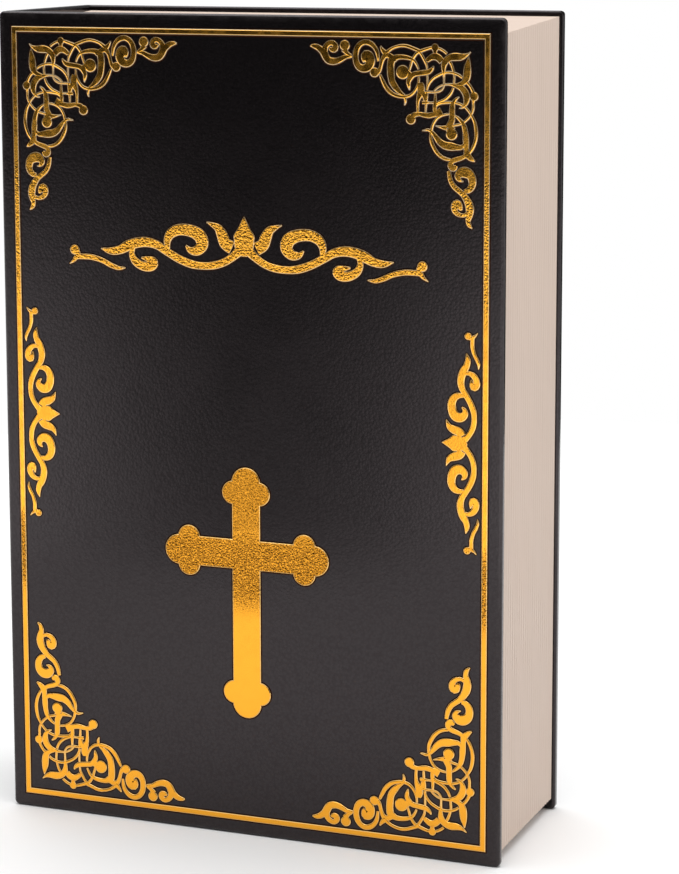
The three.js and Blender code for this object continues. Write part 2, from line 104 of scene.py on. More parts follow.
class Slot(str, Enum):
    """The record's material slots."""

    LEATHERCLOTH = "leathercloth"
    GREYBOARD = "greyboard"
    ENDPAPER = "endpaper"
    GOLD_FOIL = "gold_foil"
    PAGE_PLASTIC = "page_plastic"
    BLACK_STEEL = "black_steel"
    PLATED_STEEL = "plated_steel"
    LOCK_CHROME = "lock_chrome"
    PLUG_METAL = "plug_metal"
    WAFER_BRASS = "wafer_brass"


# Strokes of the stamped scrollwork.
# Each place is across and up the cover in mm, with half the stroke's width.
# A semicolon ends a stroke, and a stroke of one place is a round dot.

CORNER_STROKES = """
-69 39.2 .15, -68 38.6 .55, -66.8 37.4 .8, -66.5 36 .65, -66.4 34.5 .7, -66.3 33 .75, -66.2 31.5 .65,
 -65.9 30 .6, -65.4 28.8 .5, -64.6 27.9 .4, -63.6 27.1 .3, -62.4 26.6 .25;
-63.7 40.6 .35, -63 41.2 .75, -62.3 41 .85, -61.9 40.2 .7, -62.3 39.4 .6, -63.3 38.9 .6, -64.6 38.5 .55,
 -65.8 38 .5, -66.6 37.2 .6;
-62 38.9 .3, -60.8 38.8 .4, -59.3 38.2 .42, -58 37.1 .45, -57 35.6 .45, -56.3 34 .42, -56.1 32.4 .35,
 -56.3 31 .35, -56.6 29.8 .33, -57.2 28.6 .33, -58 27.6 .33, -59.2 26.9 .3, -60.6 26.5 .28, -61.8 26.4 .25;
-66 34.6 .4, -65 35.4 .55, -63.6 35.4 .75, -62 35.25 1, -60.3 35 .95, -58.9 34.2 .8, -57.9 33.1 .65,
 -57.1 32.1 .5, -56.4 31.4 .4, -55.4 30.9 .35, -54.5 31 .25, -53.6 31.15 .1;
-62.2 31.9 1.45;
-62.2 31 1.2, -61.5 30.2 1;
-60.8 30.2 .6, -59.5 30.1 .4, -58.5 29.9 .25, -57.5 29.65 .12;
-61.5 30.2 1, -61.6 29.5 .8, -62.2 28.3 .75, -62.3 27 .7, -62.3 25.5 .7, -62.4 24 .65, -62.8 23 .45,
 -63.5 22.2 .35, -64.3 21.6 .15;
-62.5 29.6 .3, -63.7 29.3 .3, -64.6 29.1 .3, -65.4 28.8 .3, -66.4 28 .3, -67.2 27.2 .3, -67.8 26.3 .3;
-67.4 37 .3, -68.3 35.6 .38, -69 33.8 .4, -69.3 32 .42, -69.2 30.2 .42, -68.8 28.4 .38, -68.1 27 .33,
 -67.5 26 .3, -66.8 25.1 .3, -65.8 24.2 .3, -64.6 23.6 .32, -63 23.2 .32, -61.5 23.2 .33, -60 23.3 .35,
 -58.5 23.6 .35, -57.6 24.2 .35;
-65.4 28.7 .3, -66.5 27.9 .3, -67.4 26.9 .3, -68.1 25.8 .3, -68.4 24.5 .32, -68.4 23.2 .32, -68.5 21.6 .5;
-68.6 21.4 1.1;
-68.6 21.2 .5, -68.4 20.4 .4, -67.9 19.3 .35, -67.2 18.3 .35, -66.6 17.7 .4;
-64.3 24.7 .12, -65.2 24.5 .3, -65.8 24 .4, -66.3 23.2 .6, -66.5 21.9 .8, -66.2 20.6 .85, -65.4 19.5 .8,
 -64.4 18.9 .65, -63 18.5 .45, -61.5 18.3 .28, -60 18.4 .26, -58.8 18.8 .26, -57.6 19.6 .26, -57 20.3 .26;
-67 10.6 .1, -66.9 12 .5, -66.7 13.5 .85, -66.6 15 .95, -66.4 16.4 .9, -65.9 17.4 .7, -65 18 .55,
 -63.6 18.4 .4;
-67.6 9.3 .08, -66.4 10.2 .4, -64.8 10.7 .8, -63.2 10.7 .95, -61.8 10.9 .85, -60.7 11.6 .8, -60 12.6 .75,
 -59.8 13.8 .55, -59.85 15 .4, -59.9 16.5 .25, -59.95 18 .25, -59.9 18.6 .25, -59.5 19.5 .26,
 -58.6 20.2 .28, -57.2 20.5 .28, -55.5 20.5 .3, -54.3 20.7 .35;
-59.3 12 .8, -58.2 11 .85, -57.2 10.7 .85, -56.2 11 .7, -55.2 11.7 .55, -54.9 12.1 .45;
-57.3 8.3 .95;
-57.3 8.4 .6, -57.3 9.8 .5;
-60.7 9.9 .3, -59.8 9.2 .32, -58.6 8.6 .32, -57.4 8.4 .35;
-57.2 8.3 .35, -56 8.4 .35, -54.6 8.8 .38, -53.2 9.3 .4, -52 9.9 .38, -51.2 10.9 .35, -50.6 12 .33,
 -50.2 13.4 .3, -49.8 14.6 .3;
-52.8 9.3 .4, -51.2 8.7 .4, -49.5 8.1 .4, -48 7.9 .38, -46.5 8.1 .36, -45 8.6 .36, -44 9.2 .4, -43 9.9 .45,
 -42.5 10.2 .45;
-62.6 19.2 .3, -62 20.6 .33, -61 21.8 .35, -59.9 22.6 .35, -58.5 23.2 .35, -57.8 23.6 .35;
-62.8 19 .3, -62.8 17.5 .28, -62.9 16 .28, -62.6 14.5 .3, -62.1 13 .33, -61.6 12.1 .35;
-65.2 16.4 .3, -64.2 15.7 .33, -62.8 15.2 .33, -61.3 15 .33, -59.8 15.2 .35, -58.4 15.8 .35, -57 16.6 .33,
 -55.9 17.7 .33, -55.2 18.9 .32, -54.9 20 .3;
-56.9 13.3 .12, -56.5 14.1 .4, -55.5 14.9 .6, -54.2 15.2 .65, -52.6 15.4 .62, -51.2 15.7 .65, -50.2 16.5 .7,
 -49.6 17.8 .55, -49.7 19 .4, -49.9 20.1 .12;
-47.9 15.2 1.7;
-50 16 .8, -49 15.3 .9, -48 15.2 1.3;
-55.1 20 .25, -55.1 18 .25, -55.1 16.3 .25, -55 14.2 .25, -54.8 13 .3, -54.1 11.6 .33, -53.4 10.4 .33,
 -52.7 9.5 .35;
-52.5 14.3 .25, -52.1 13.3 .3, -51.4 12.2 .35, -50.6 11.6 .4, -49.4 11.2 .5, -47.8 11 .55, -46.3 11.1 .65,
 -45.2 11.6 .9;
-45.2 11.4 .9, -44.6 12 .95, -44.35 13.6 .9, -44.4 15.2 .9, -44.6 17 .85, -45 18.2 .83, -46 19.6 .75,
 -47.2 20.8 .5, -48.3 21.6 .35;
-52.6 16.3 .25, -52.5 17.8 .3, -52.1 19.2 .33, -51.2 20.6 .35, -50.1 21.5 .37, -48.8 21.9 .4,
 -47.3 21.9 .42, -45.6 21.5 .45, -44.2 20.7 .5, -43 19.4 .5, -42.2 18 .45, -41.5 16.6 .35, -41.2 16 .25;
-48.4 24.3 .12, -48.7 23.4 .3, -48.6 22.4 .35, -48.2 21.8 .35;
-39.6 15.4 1.2;
-39.8 15.4 .9, -40.6 15.2 .7, -41.3 14.2 .45, -41.6 13 .45, -42 11.8 .5, -42.6 10.8 .65, -43.2 10.6 .7,
 -42.5 9.8 .6, -41.8 9 .4, -41.3 8.1 .15;
-43.6 10.6 .7, -45 11.2 .6;
-40.7 12.3 .3, -40.6 11 .4, -40.3 9.6 .5, -39.5 8.3 .55, -38.3 7.4 .65, -36.8 7.1 .65, -35.4 7.7 .65,
 -34.4 9 .7, -34 10.8 .72, -34.2 12.6 .75, -35 13.9 .85, -36.3 14.4 .95, -37.7 13.9 1.1, -38.3 12.6 1.25,
 -37.9 11.3 1.45, -37.1 10.9 1.35, -36.6 11.5 .9, -36.4 12.3 .4, -36.5 12.8 .12;
-33 11.3 .25, -32.3 10.8 .45, -31.4 10.2 .5, -30.7 9.2 .85;
-30.8 8.1 1.3;
-33 11.2 .25, -32.2 11.2 .4, -31 11.3 .55, -29.8 11.9 .65, -28.6 12.4 .75, -27.3 12.6 .85, -26 12.3 .9,
 -25.2 11.4 .95, -24.6 10.2 1, -23.7 9.4 .8, -22.6 8.7 .7, -21.4 8.4 .5, -20.4 8.45 .15;
-24.7 9.8 .9, -25.1 8.6 .7, -26 7.7 .65, -27.2 7.5 .65, -28 8.3 .75, -27.7 9.2 .8, -26.9 9.3 .6,
 -26.2 8.9 .25;
-50.3 28.1 1.25;
-50.4 28 .9, -51.3 26.9 .65, -52.8 26.6 .5, -54.2 26.8 .6, -55.6 26.9 .65, -57 26.6 .65, -58.2 26.2 .85,
 -59.2 25.7 1;
-57.3 26 .45, -57.3 24.5 .5, -57.4 23.2 .4, -57.4 21.6 .3, -57.4 20.6 .25;
-54.6 26 .25, -54.7 24 .3, -54.9 22 .35, -54.9 20.5 .35;
-52.4 26.3 .33, -52.3 24.5 .35, -52.4 22.8 .45, -52.8 21.6 .7, -53.2 20.5 .9, -53.2 19 .95, -53.1 18 .6;
-57.6 23.4 .35, -56 23.4 .25, -54.8 23.4 .4, -53.6 23.4 .4;
-54.6 22.8 .5, -54.2 21.5 .6, -53.4 20.5 .8;
-68.33 57.75 .12, -67.4 56.8 .5, -67.1 55.5 .6, -67.4 54.3 .8, -67.6 52.6 1, -67.3 51 1, -66.5 49.5 .85,
 -65.4 48.2 .7, -64.1 47.2 .65, -62.9 46.2 .62, -62 44.7 .58, -61.6 43.2 .5, -61.4 42.1 .42;
-66.7 53.8 .5, -65.5 54.2 .45, -64.1 53.8 .6, -63.2 52.8 .75, -63.4 51.5 1.1, -64.1 51.2 1.15,
 -64.8 52.1 .65, -65.1 52.8 .25;
-66 47.5 .5, -67.1 47.2 .7, -68 46.2 .85, -68.3 44.9 .95, -67.9 43.3 1.1, -66.75 42.4 1.3, -65.3 42.3 1.25,
 -64.2 43.2 .95, -64.3 44.2 .6, -65 44.7 .3, -65.7 44.8 .12;
"""

SIDE_STROKES = """
-70.7 151.4 .12, -70 150.6 .35, -69.2 150 .55, -69.1 148.9 .55, -69.15 147.3 .55, -69.7 145.4 .52,
 -70.6 143.8 .5, -71.1 142.4 .4, -71 141.2 .12;
-67.8 150.4 1;
-69.2 149.9 .5, -68.4 149.9 .6, -67.8 150.4 1;
-67.3 145.6 .12, -67.7 143.8 .7, -67.4 142.2 .85, -66.5 140.7 1.05, -65.8 139 1, -65.6 137.2 .95,
 -66.1 135.4 .85, -67.2 133.8 .8, -68.6 131.6 .8, -69.5 129.5 .8, -69.8 127.6 .72, -69.6 125.4 .75,
 -68.9 123.6 .75, -67.8 122.1 .78, -66.6 121 1;
-66.8 139.8 .5, -68.1 140 .6, -69.5 139.4 .8, -70.4 138.1 .9, -70.4 136.7 1, -69.6 136.2 1.1, -69 137.1 .6,
 -68.8 138.3 .2;
-66.8 133.5 .45, -65.1 133.6 .75, -63.6 132.9 1, -62.8 131.3 1.1, -63 129.2 1.2, -64 127.7 1.35,
 -65.6 127.4 1.25, -66.8 128.3 1, -66.8 129.5 .65, -65.9 130.3 .2;
-65.9 122.2 1.3, -65.1 123.3 1.2, -63.6 123.8 1.15, -62.2 124.5 .85, -61.5 125.6 .45, -61.1 126.6 .12;
"""

SIDE_LEAF = "-67.5 120 .6, -66.1 120 1.9, -64.3 120 2.2, -63.3 120 2.2, -62.0 120 1.25, -59.7 120 .12"


@dataclass(frozen=True)
class Scrollwork:
    """Strokes of one ornament, each a row of (across, up, half width) in mm on the cover's face."""

    strokes: tuple[tuple[Point, ...], ...]

    @classmethod
    def read(cls, text: str) -> Scrollwork:
        """Reads strokes from their places.

        Args:
            text: Strokes parted by semicolons, with their places parted by commas.

        Returns:
            The ornament that they describe.
        """
        strokes = (stroke.split(",") for stroke in text.split(";") if stroke.strip())
        return cls(tuple(tuple(cls._place(words) for words in stroke) for stroke in strokes))

    @staticmethod
    def _place(words: str) -> Point:
        """One place of a stroke from its three numbers."""
        across, up, half = (float(word) for word in words.split())
        return across, up, half

    def mapped(self, rule: Callable[[float, float, float], Point]) -> Scrollwork:
        """The same strokes with every place sent through a rule of (across, up, half)."""
        return Scrollwork(tuple(tuple(rule(*place) for place in stroke) for stroke in self.strokes))

    def flipped_across(self) -> Scrollwork:
        """The ornament's mirror image about the cover's upright middle line."""
        return self.mapped(lambda across, up, half: (-across, up, half))

    def flipped_up(self, level: float) -> Scrollwork:
        """The ornament's mirror image about a level line, in mm from the tail."""
        return self.mapped(lambda across, up, half: (across, 2 * level - up, half))

    def __add__(self, other: Scrollwork) -> Scrollwork:
        """Both ornaments as one."""
        return Scrollwork(self.strokes + other.strokes)


@dataclass
class Graph:
    """A node tree that is being wired, one call for each node.

    Some nodes have several sockets of one name, so theirs are told apart by number.
    """

    tree: bpy.types.NodeTree

    def add(self, kind: str, feeds: dict[str | int, Feed] | None = None, **settings: Feed) -> bpy.types.Node:
        """Adds a node.

        Args:
            kind: Blender's name for the node type.
            feeds: What goes into its inputs, by name or number.
            **settings: The node's own options.

        Returns:
            The new node.
        """
        node = self.tree.nodes.new(kind)
        for name, value in settings.items():
            setattr(node, name, value)
        for key, value in (feeds or {}).items():
            self.feed(node.inputs[key], value)
        return node

    def feed(self, socket: Socket, value: Feed) -> None:
        """Links a socket to an input, or sets the input's value.

        Args:
            socket: The input.
            value: The socket or the plain value that goes into it.
        """
        if isinstance(value, bpy.types.NodeSocket):
            self.tree.links.new(value, socket)
        else:
            socket.default_value = value

    def calc(self, operation: str, *values: Feed, clamp: bool = False) -> Socket:
        """The result of a Math node on one to three values."""
        feeds = dict(enumerate(values))
        return self.add("ShaderNodeMath", feeds, operation=operation, use_clamp=clamp).outputs[0]

    def vector(self, operation: str, *values: Feed) -> Socket:
        """The vector result of a Vector Math node."""
        return self.add("ShaderNodeVectorMath", dict(enumerate(values)), operation=operation).outputs[0]

    def scaled(self, vector: Feed, factor: Feed) -> Socket:
        """A vector times a number."""
        return self.add("ShaderNodeVectorMath", {0: vector, "Scale": factor}, operation="SCALE").outputs[0]

    def split(self, vector: Feed) -> tuple[Socket, ...]:
        """The x, y and z of a vector."""
        return tuple(self.add("ShaderNodeSeparateXYZ", {0: vector}).outputs)

    def tint(self, factor: Feed, first: Feed, second: Feed) -> Socket:
        """A colour between two colours, each a socket or its red, green and blue."""
        ends = [end if isinstance(end, bpy.types.NodeSocket) else (*end, 1.0) for end in (first, second)]
        return self.add("ShaderNodeMix", {0: factor, 6: ends[0], 7: ends[1]}, data_type="RGBA").outputs[2]

    def between(self, factor: Feed, first: Feed, second: Feed) -> Socket:
        """A number between two numbers."""
        return self.add("ShaderNodeMix", {0: factor, 2: first, 3: second}, data_type="FLOAT").outputs[0]

    def spread(self, value: Feed, low: float, high: float, start: float = 0.0, end: float = 1.0) -> Socket:
        """A value's range from low to high laid over another range, eased at its ends and held inside."""
        feeds = {0: value, 1: low, 2: high, 3: start, 4: end}
        return self.add("ShaderNodeMapRange", feeds, interpolation_type="SMOOTHSTEP").outputs[0]

    def place(self) -> Socket:
        """Object coordinates, in metres."""
        return self.add("ShaderNodeTexCoord").outputs["Object"]

    def noise(self, place: Feed, scale: Feed, detail: float = 2.0, roughness: float = 0.5) -> bpy.types.Node:
        """A Noise Texture node, with so many blobs to the metre."""
        feeds = {"Vector": place, "Scale": scale, "Detail": detail, "Roughness": roughness}
        return self.add("ShaderNodeTexNoise", feeds)


def per_metre(size_mm: float) -> float:
    """How many things of a size in mm go into a metre, which is a texture's scale."""
    return 1.0 / (size_mm * MM)


class Effect:
    """A shader node group with named inputs and outputs, built once and placed in many materials."""

    name: str
    wants: dict[str, tuple[str, Feed]]
    gives: tuple[str, ...]
    tree: bpy.types.NodeTree
    graph: Graph
    inputs: bpy.types.NodeOutputs

    def __init__(self) -> None:
        """Makes the tree with its sockets, and wires it."""
        self.tree = bpy.data.node_groups.new(self.name, "ShaderNodeTree")
        for name, (kind, value) in self.wants.items():
            socket = self.tree.interface.new_socket(name, in_out="INPUT", socket_type=kind)
            socket.default_value = value
        for name in self.gives:
            self.tree.interface.new_socket(name, in_out="OUTPUT", socket_type="NodeSocketFloat")
        self.graph = Graph(self.tree)
        self.inputs = self.tree.nodes.new("NodeGroupInput").outputs
        self.graph.add("NodeGroupOutput", dict(zip(self.gives, self.wire())))

    def wire(self) -> tuple[Socket, ...]:
        """Wires the effect and returns one socket for each output."""
        raise NotImplementedError

    def within(self, graph: Graph, values: dict[str, Feed]) -> dict[str, Socket]:
        """Places the effect in a material.

        Args:
            graph: The material's nodes.
            values: What goes into the effect's inputs, by name.

        Returns:
            The outputs by name.
        """
        node = graph.add("ShaderNodeGroup", node_tree=self.tree)
        for name, value in values.items():
            graph.feed(node.inputs[name], value)
        return {name: node.outputs[name] for name in self.gives}


class EdgeRub(Effect):
    """Where a boxy part is rubbed: along its outer edges and most at its corners."""

    name = "Edge rub"
    wants = {
        "Low": ("NodeSocketVector", (0.0, 0.0, 0.0)),
        "High": ("NodeSocketVector", (1.0, 1.0, 1.0)),
        "Reach": ("NodeSocketFloat", 0.002),
        "Patch Size": ("NodeSocketFloat", 0.004),
    }
    gives = ("Mask",)
    patch_detail: float = 3.0
    patch_range: Span = (0.35, 0.65)
    least: float = 0.15

    def wire(self) -> tuple[Socket, ...]:
        """Closeness to two or three faces of the box at once, broken up by noise.

        Returns:
            The mask.
        """
        graph, inputs = self.graph, self.inputs
        place = graph.place()
        past_low = graph.vector("SUBTRACT", place, inputs["Low"])
        past_high = graph.vector("SUBTRACT", inputs["High"], place)
        gap = graph.vector("MINIMUM", past_low, past_high)
        share = graph.scaled(gap, graph.calc("DIVIDE", 1.0, inputs["Reach"]))
        close = graph.vector("MAXIMUM", graph.vector("SUBTRACT", (1.0, 1.0, 1.0), share), (0.0, 0.0, 0.0))
        x, y, z = graph.split(close)
        pair = graph.calc("MAXIMUM", graph.calc("MULTIPLY", x, y), graph.calc("MULTIPLY", y, z))
        edge = graph.calc("MAXIMUM", pair, graph.calc("MULTIPLY", z, x), clamp=True)
        noise = graph.noise(place, graph.calc("DIVIDE", 1.0, inputs["Patch Size"]), self.patch_detail)
        patch = graph.spread(noise.outputs[0], *self.patch_range, self.least)
        return (graph.calc("MULTIPLY", edge, patch, clamp=True),)


class Grain(Effect):
    """A pebbled or speckled skin: raised cells with fine noise over them, and slow patches in its tone."""

    name = "Grain"
    wants = {
        "Cell Size": ("NodeSocketFloat", 0.001),
        "Softness": ("NodeSocketFloat", 0.4),
        "Patch Size": ("NodeSocketFloat", 0.02),
    }
    gives = ("Height", "Patches")
    cell_share: float = 0.75
    fine_share: float = 0.45
    fine_to_cell: float = 2.6
    fine_detail: float = 3.0

    def wire(self) -> tuple[Socket, ...]:
        """Smooth cells with noise of about a third of their size over them.

        Returns:
            The height and the patches.
        """
        graph, inputs = self.graph, self.inputs
        place = graph.place()
        scale = graph.calc("DIVIDE", 1.0, inputs["Cell Size"])
        feeds = {"Vector": place, "Scale": scale, "Smoothness": inputs["Softness"]}
        cells = graph.add("ShaderNodeTexVoronoi", feeds, feature="SMOOTH_F1").outputs["Distance"]
        fine = graph.noise(place, graph.calc("MULTIPLY", scale, self.fine_to_cell), self.fine_detail)
        domes = graph.calc("MULTIPLY", graph.calc("SUBTRACT", 1.0, cells), self.cell_share)
        height = graph.calc("MULTIPLY_ADD", fine.outputs[0], self.fine_share, domes)
        slow = graph.noise(place, graph.calc("DIVIDE", 1.0, inputs["Patch Size"]))
        return height, slow.outputs[0]


class Streaks(Effect):
    """Fine lines drawn out along one direction, as brushing or stacked leaves leave them."""

    name = "Streaks"
    wants = {
        "Pitch": ("NodeSocketVector", (1000.0, 1000.0, 20.0)),
        "Contrast": ("NodeSocketFloat", 1.0),
    }
    gives = ("Lines",)
    detail: float = 3.0
    roughness: float = 0.6

    def wire(self) -> tuple[Socket, ...]:
        """Noise on coordinates that are stretched by the pitch.

        Returns:
            The lines.
        """
        graph, inputs = self.graph, self.inputs
        drawn = graph.vector("MULTIPLY", graph.place(), inputs["Pitch"])
        noise = graph.noise(drawn, 1.0, self.detail, self.roughness)
        centred = graph.calc("SUBTRACT", noise.outputs[0], 0.5)
        return (graph.calc("MULTIPLY_ADD", centred, inputs["Contrast"], 0.5, clamp=True),)


@dataclass
class Effects:
    """The node groups that the finishes share."""

    edge_rub: EdgeRub = field(default_factory=EdgeRub)
    grain: Grain = field(default_factory=Grain)
    streaks: Streaks = field(default_factory=Streaks)


@dataclass
class Coating:
    """A material while its finish goes on: its nodes, its shader and the effects that it can use."""

    graph: Graph
    shader: bpy.types.Node
    effects: Effects
    patch_range: Span = (0.3, 0.7)

    def rub(self, box: tuple[Vector, Vector], reach_mm: float, patch_mm: float) -> Socket:
        """The mask of a box's rubbed edges."""
        values = {"Low": box[0], "High": box[1], "Reach": reach_mm * MM, "Patch Size": patch_mm * MM}
        return self.effects.edge_rub.within(self.graph, values)["Mask"]

    def grain(self, finish: Finish) -> dict[str, Socket]:
        """The height and the patches of a finish's own grain."""
        values = {"Cell Size": finish.cell_mm * MM, "Softness": finish.softness,
                  "Patch Size": finish.patch_mm * MM}
        return self.effects.grain.within(self.graph, values)

    def lines(self, pitch: Point, contrast: float) -> Socket:
        """Drawn lines, with so many to the metre along each axis."""
        return self.effects.streaks.within(self.graph, {"Pitch": pitch, "Contrast": contrast})["Lines"]

    def patched(self, grain: dict[str, Socket], finish: Finish) -> Socket:
        """A finish's roughness, which swings slowly with its grain's patches."""
        low, high = finish.roughness - finish.gloss_below, finish.roughness + finish.gloss_above
        return self.graph.spread(grain["Patches"], *self.patch_range, low, high)

    def paint(self, share: Feed, first: Feed, second: Feed) -> None:
        """Colours the surface between two colours."""
        self.graph.feed(self.shader.inputs["Base Color"], self.graph.tint(share, first, second))

    def gloss(self, roughness: Socket) -> None:
        """Gives the surface a roughness that changes over it."""
        self.graph.feed(self.shader.inputs["Roughness"], roughness)

    def relief(self, height: Socket, depth_mm: float, facing: Socket | None = None) -> None:
        """Raises the surface.

        Args:
            height: Its height, from 0 to 1.
            depth_mm: How far a height of 1 stands out.
            facing: The normal that it is raised from, where that isn't the mesh's own.
        """
        feeds = {"Height": height, "Distance": depth_mm * MM, "Strength": 1.0}
        if facing is not None:
            feeds["Normal"] = facing
        self.graph.feed(self.shader.inputs["Normal"], self.graph.add("ShaderNodeBump", feeds).outputs[0])


@dataclass(frozen=True)
class Finish:
    """A material's plain values and its grain's sizes; each subclass adds what varies over the surface."""

    colour: Colour
    roughness: float
    metallic: float = 0.0
    specular: float = 0.5
    tint: Colour = (1.0, 1.0, 1.0)
    coat_roughness: float = 0.1
    cell_mm: float = 0.5
    softness: float = 0.5
    patch_mm: float = 10.0
    depth_mm: float = 0.02
    gloss_below: float = 0.05
    gloss_above: float = 0.05

    def material(self, slot: Slot, effects: Effects) -> bpy.types.Material:
        """Builds the material.

        Args:
            slot: The record's slot that it stands for.
            effects: The shared node groups.

        Returns:
            The material, with its shader wired.
        """
        made = bpy.data.materials.new(slot.value)
        made.use_nodes = True
        made.node_tree.nodes.clear()
        graph = Graph(made.node_tree)
        shader = graph.add("ShaderNodeBsdfPrincipled", {
            "Base Color": (*self.colour, 1.0),
            "Roughness": self.roughness,
            "Metallic": self.metallic,
            "Coat Roughness": self.coat_roughness,
            "Specular IOR Level": self.specular,
            "Specular Tint": (*self.tint, 1.0),
        })
        graph.add("ShaderNodeOutputMaterial", {"Surface": shader.outputs[0]})
        self.dress(Coating(graph, shader, effects))
        made.diffuse_color = (*self.colour, 1.0)
        return made

    def dress(self, coating: Coating) -> None:
        """Feeds what varies over the surface into the shader."""
        raise NotImplementedError


@dataclass(frozen=True)
class Leathercloth(Finish):
    """Charcoal grained covering under a fine lacquer, a little greyed where hands and shelves rub it."""

    cell_mm: float = 0.85
    softness: float = 0.35
    patch_mm: float = 26.0
    depth_mm: float = 0.017
    gloss_below: float = 0.01
    gloss_above: float = 0.02
    worn: Colour = (0.03, 0.028, 0.027)
    worn_share: float = 0.5
    worn_roughness: float = 0.2
    rub_mm: float = 2.2
    rub_patch_mm: float = 3.0
    # Painted shade in the grain's hollows: the share of the colour kept there, over these grain heights.
    hollow_shade: float = 0.55
    hollow_shade_range: Span = (0.45, 0.95)
    lacquer: Span = (0.28, 0.45)
    lacquer_range: Span = (0.3, 0.9)

    def dress(self, coating: Coating) -> None:
        """Grain with painted shade in its hollows and thicker lacquer on its tops, slow patches of gloss, and
        rubbed edges.

        Args:
            coating: The material.
        """
        graph = coating.graph
        grain = coating.grain(self)
        # Painted shade: the colour darkens where the grain is low.
        shaded_hollow = tuple(self.hollow_shade * part for part in self.colour)
        skin = graph.tint(graph.spread(grain["Height"], *self.hollow_shade_range), shaded_hollow, self.colour)
        worn = graph.calc("MULTIPLY", coating.rub(CAD_BOX, self.rub_mm, self.rub_patch_mm), self.worn_share)
        coating.paint(worn, skin, self.worn)
        lacquer = graph.spread(grain["Height"], *self.lacquer_range, *self.lacquer)
        graph.feed(coating.shader.inputs["Coat Weight"], lacquer)
        coating.gloss(graph.calc("MULTIPLY_ADD", worn, self.worn_roughness, coating.patched(grain, self)))
        coating.relief(grain["Height"], self.depth_mm)


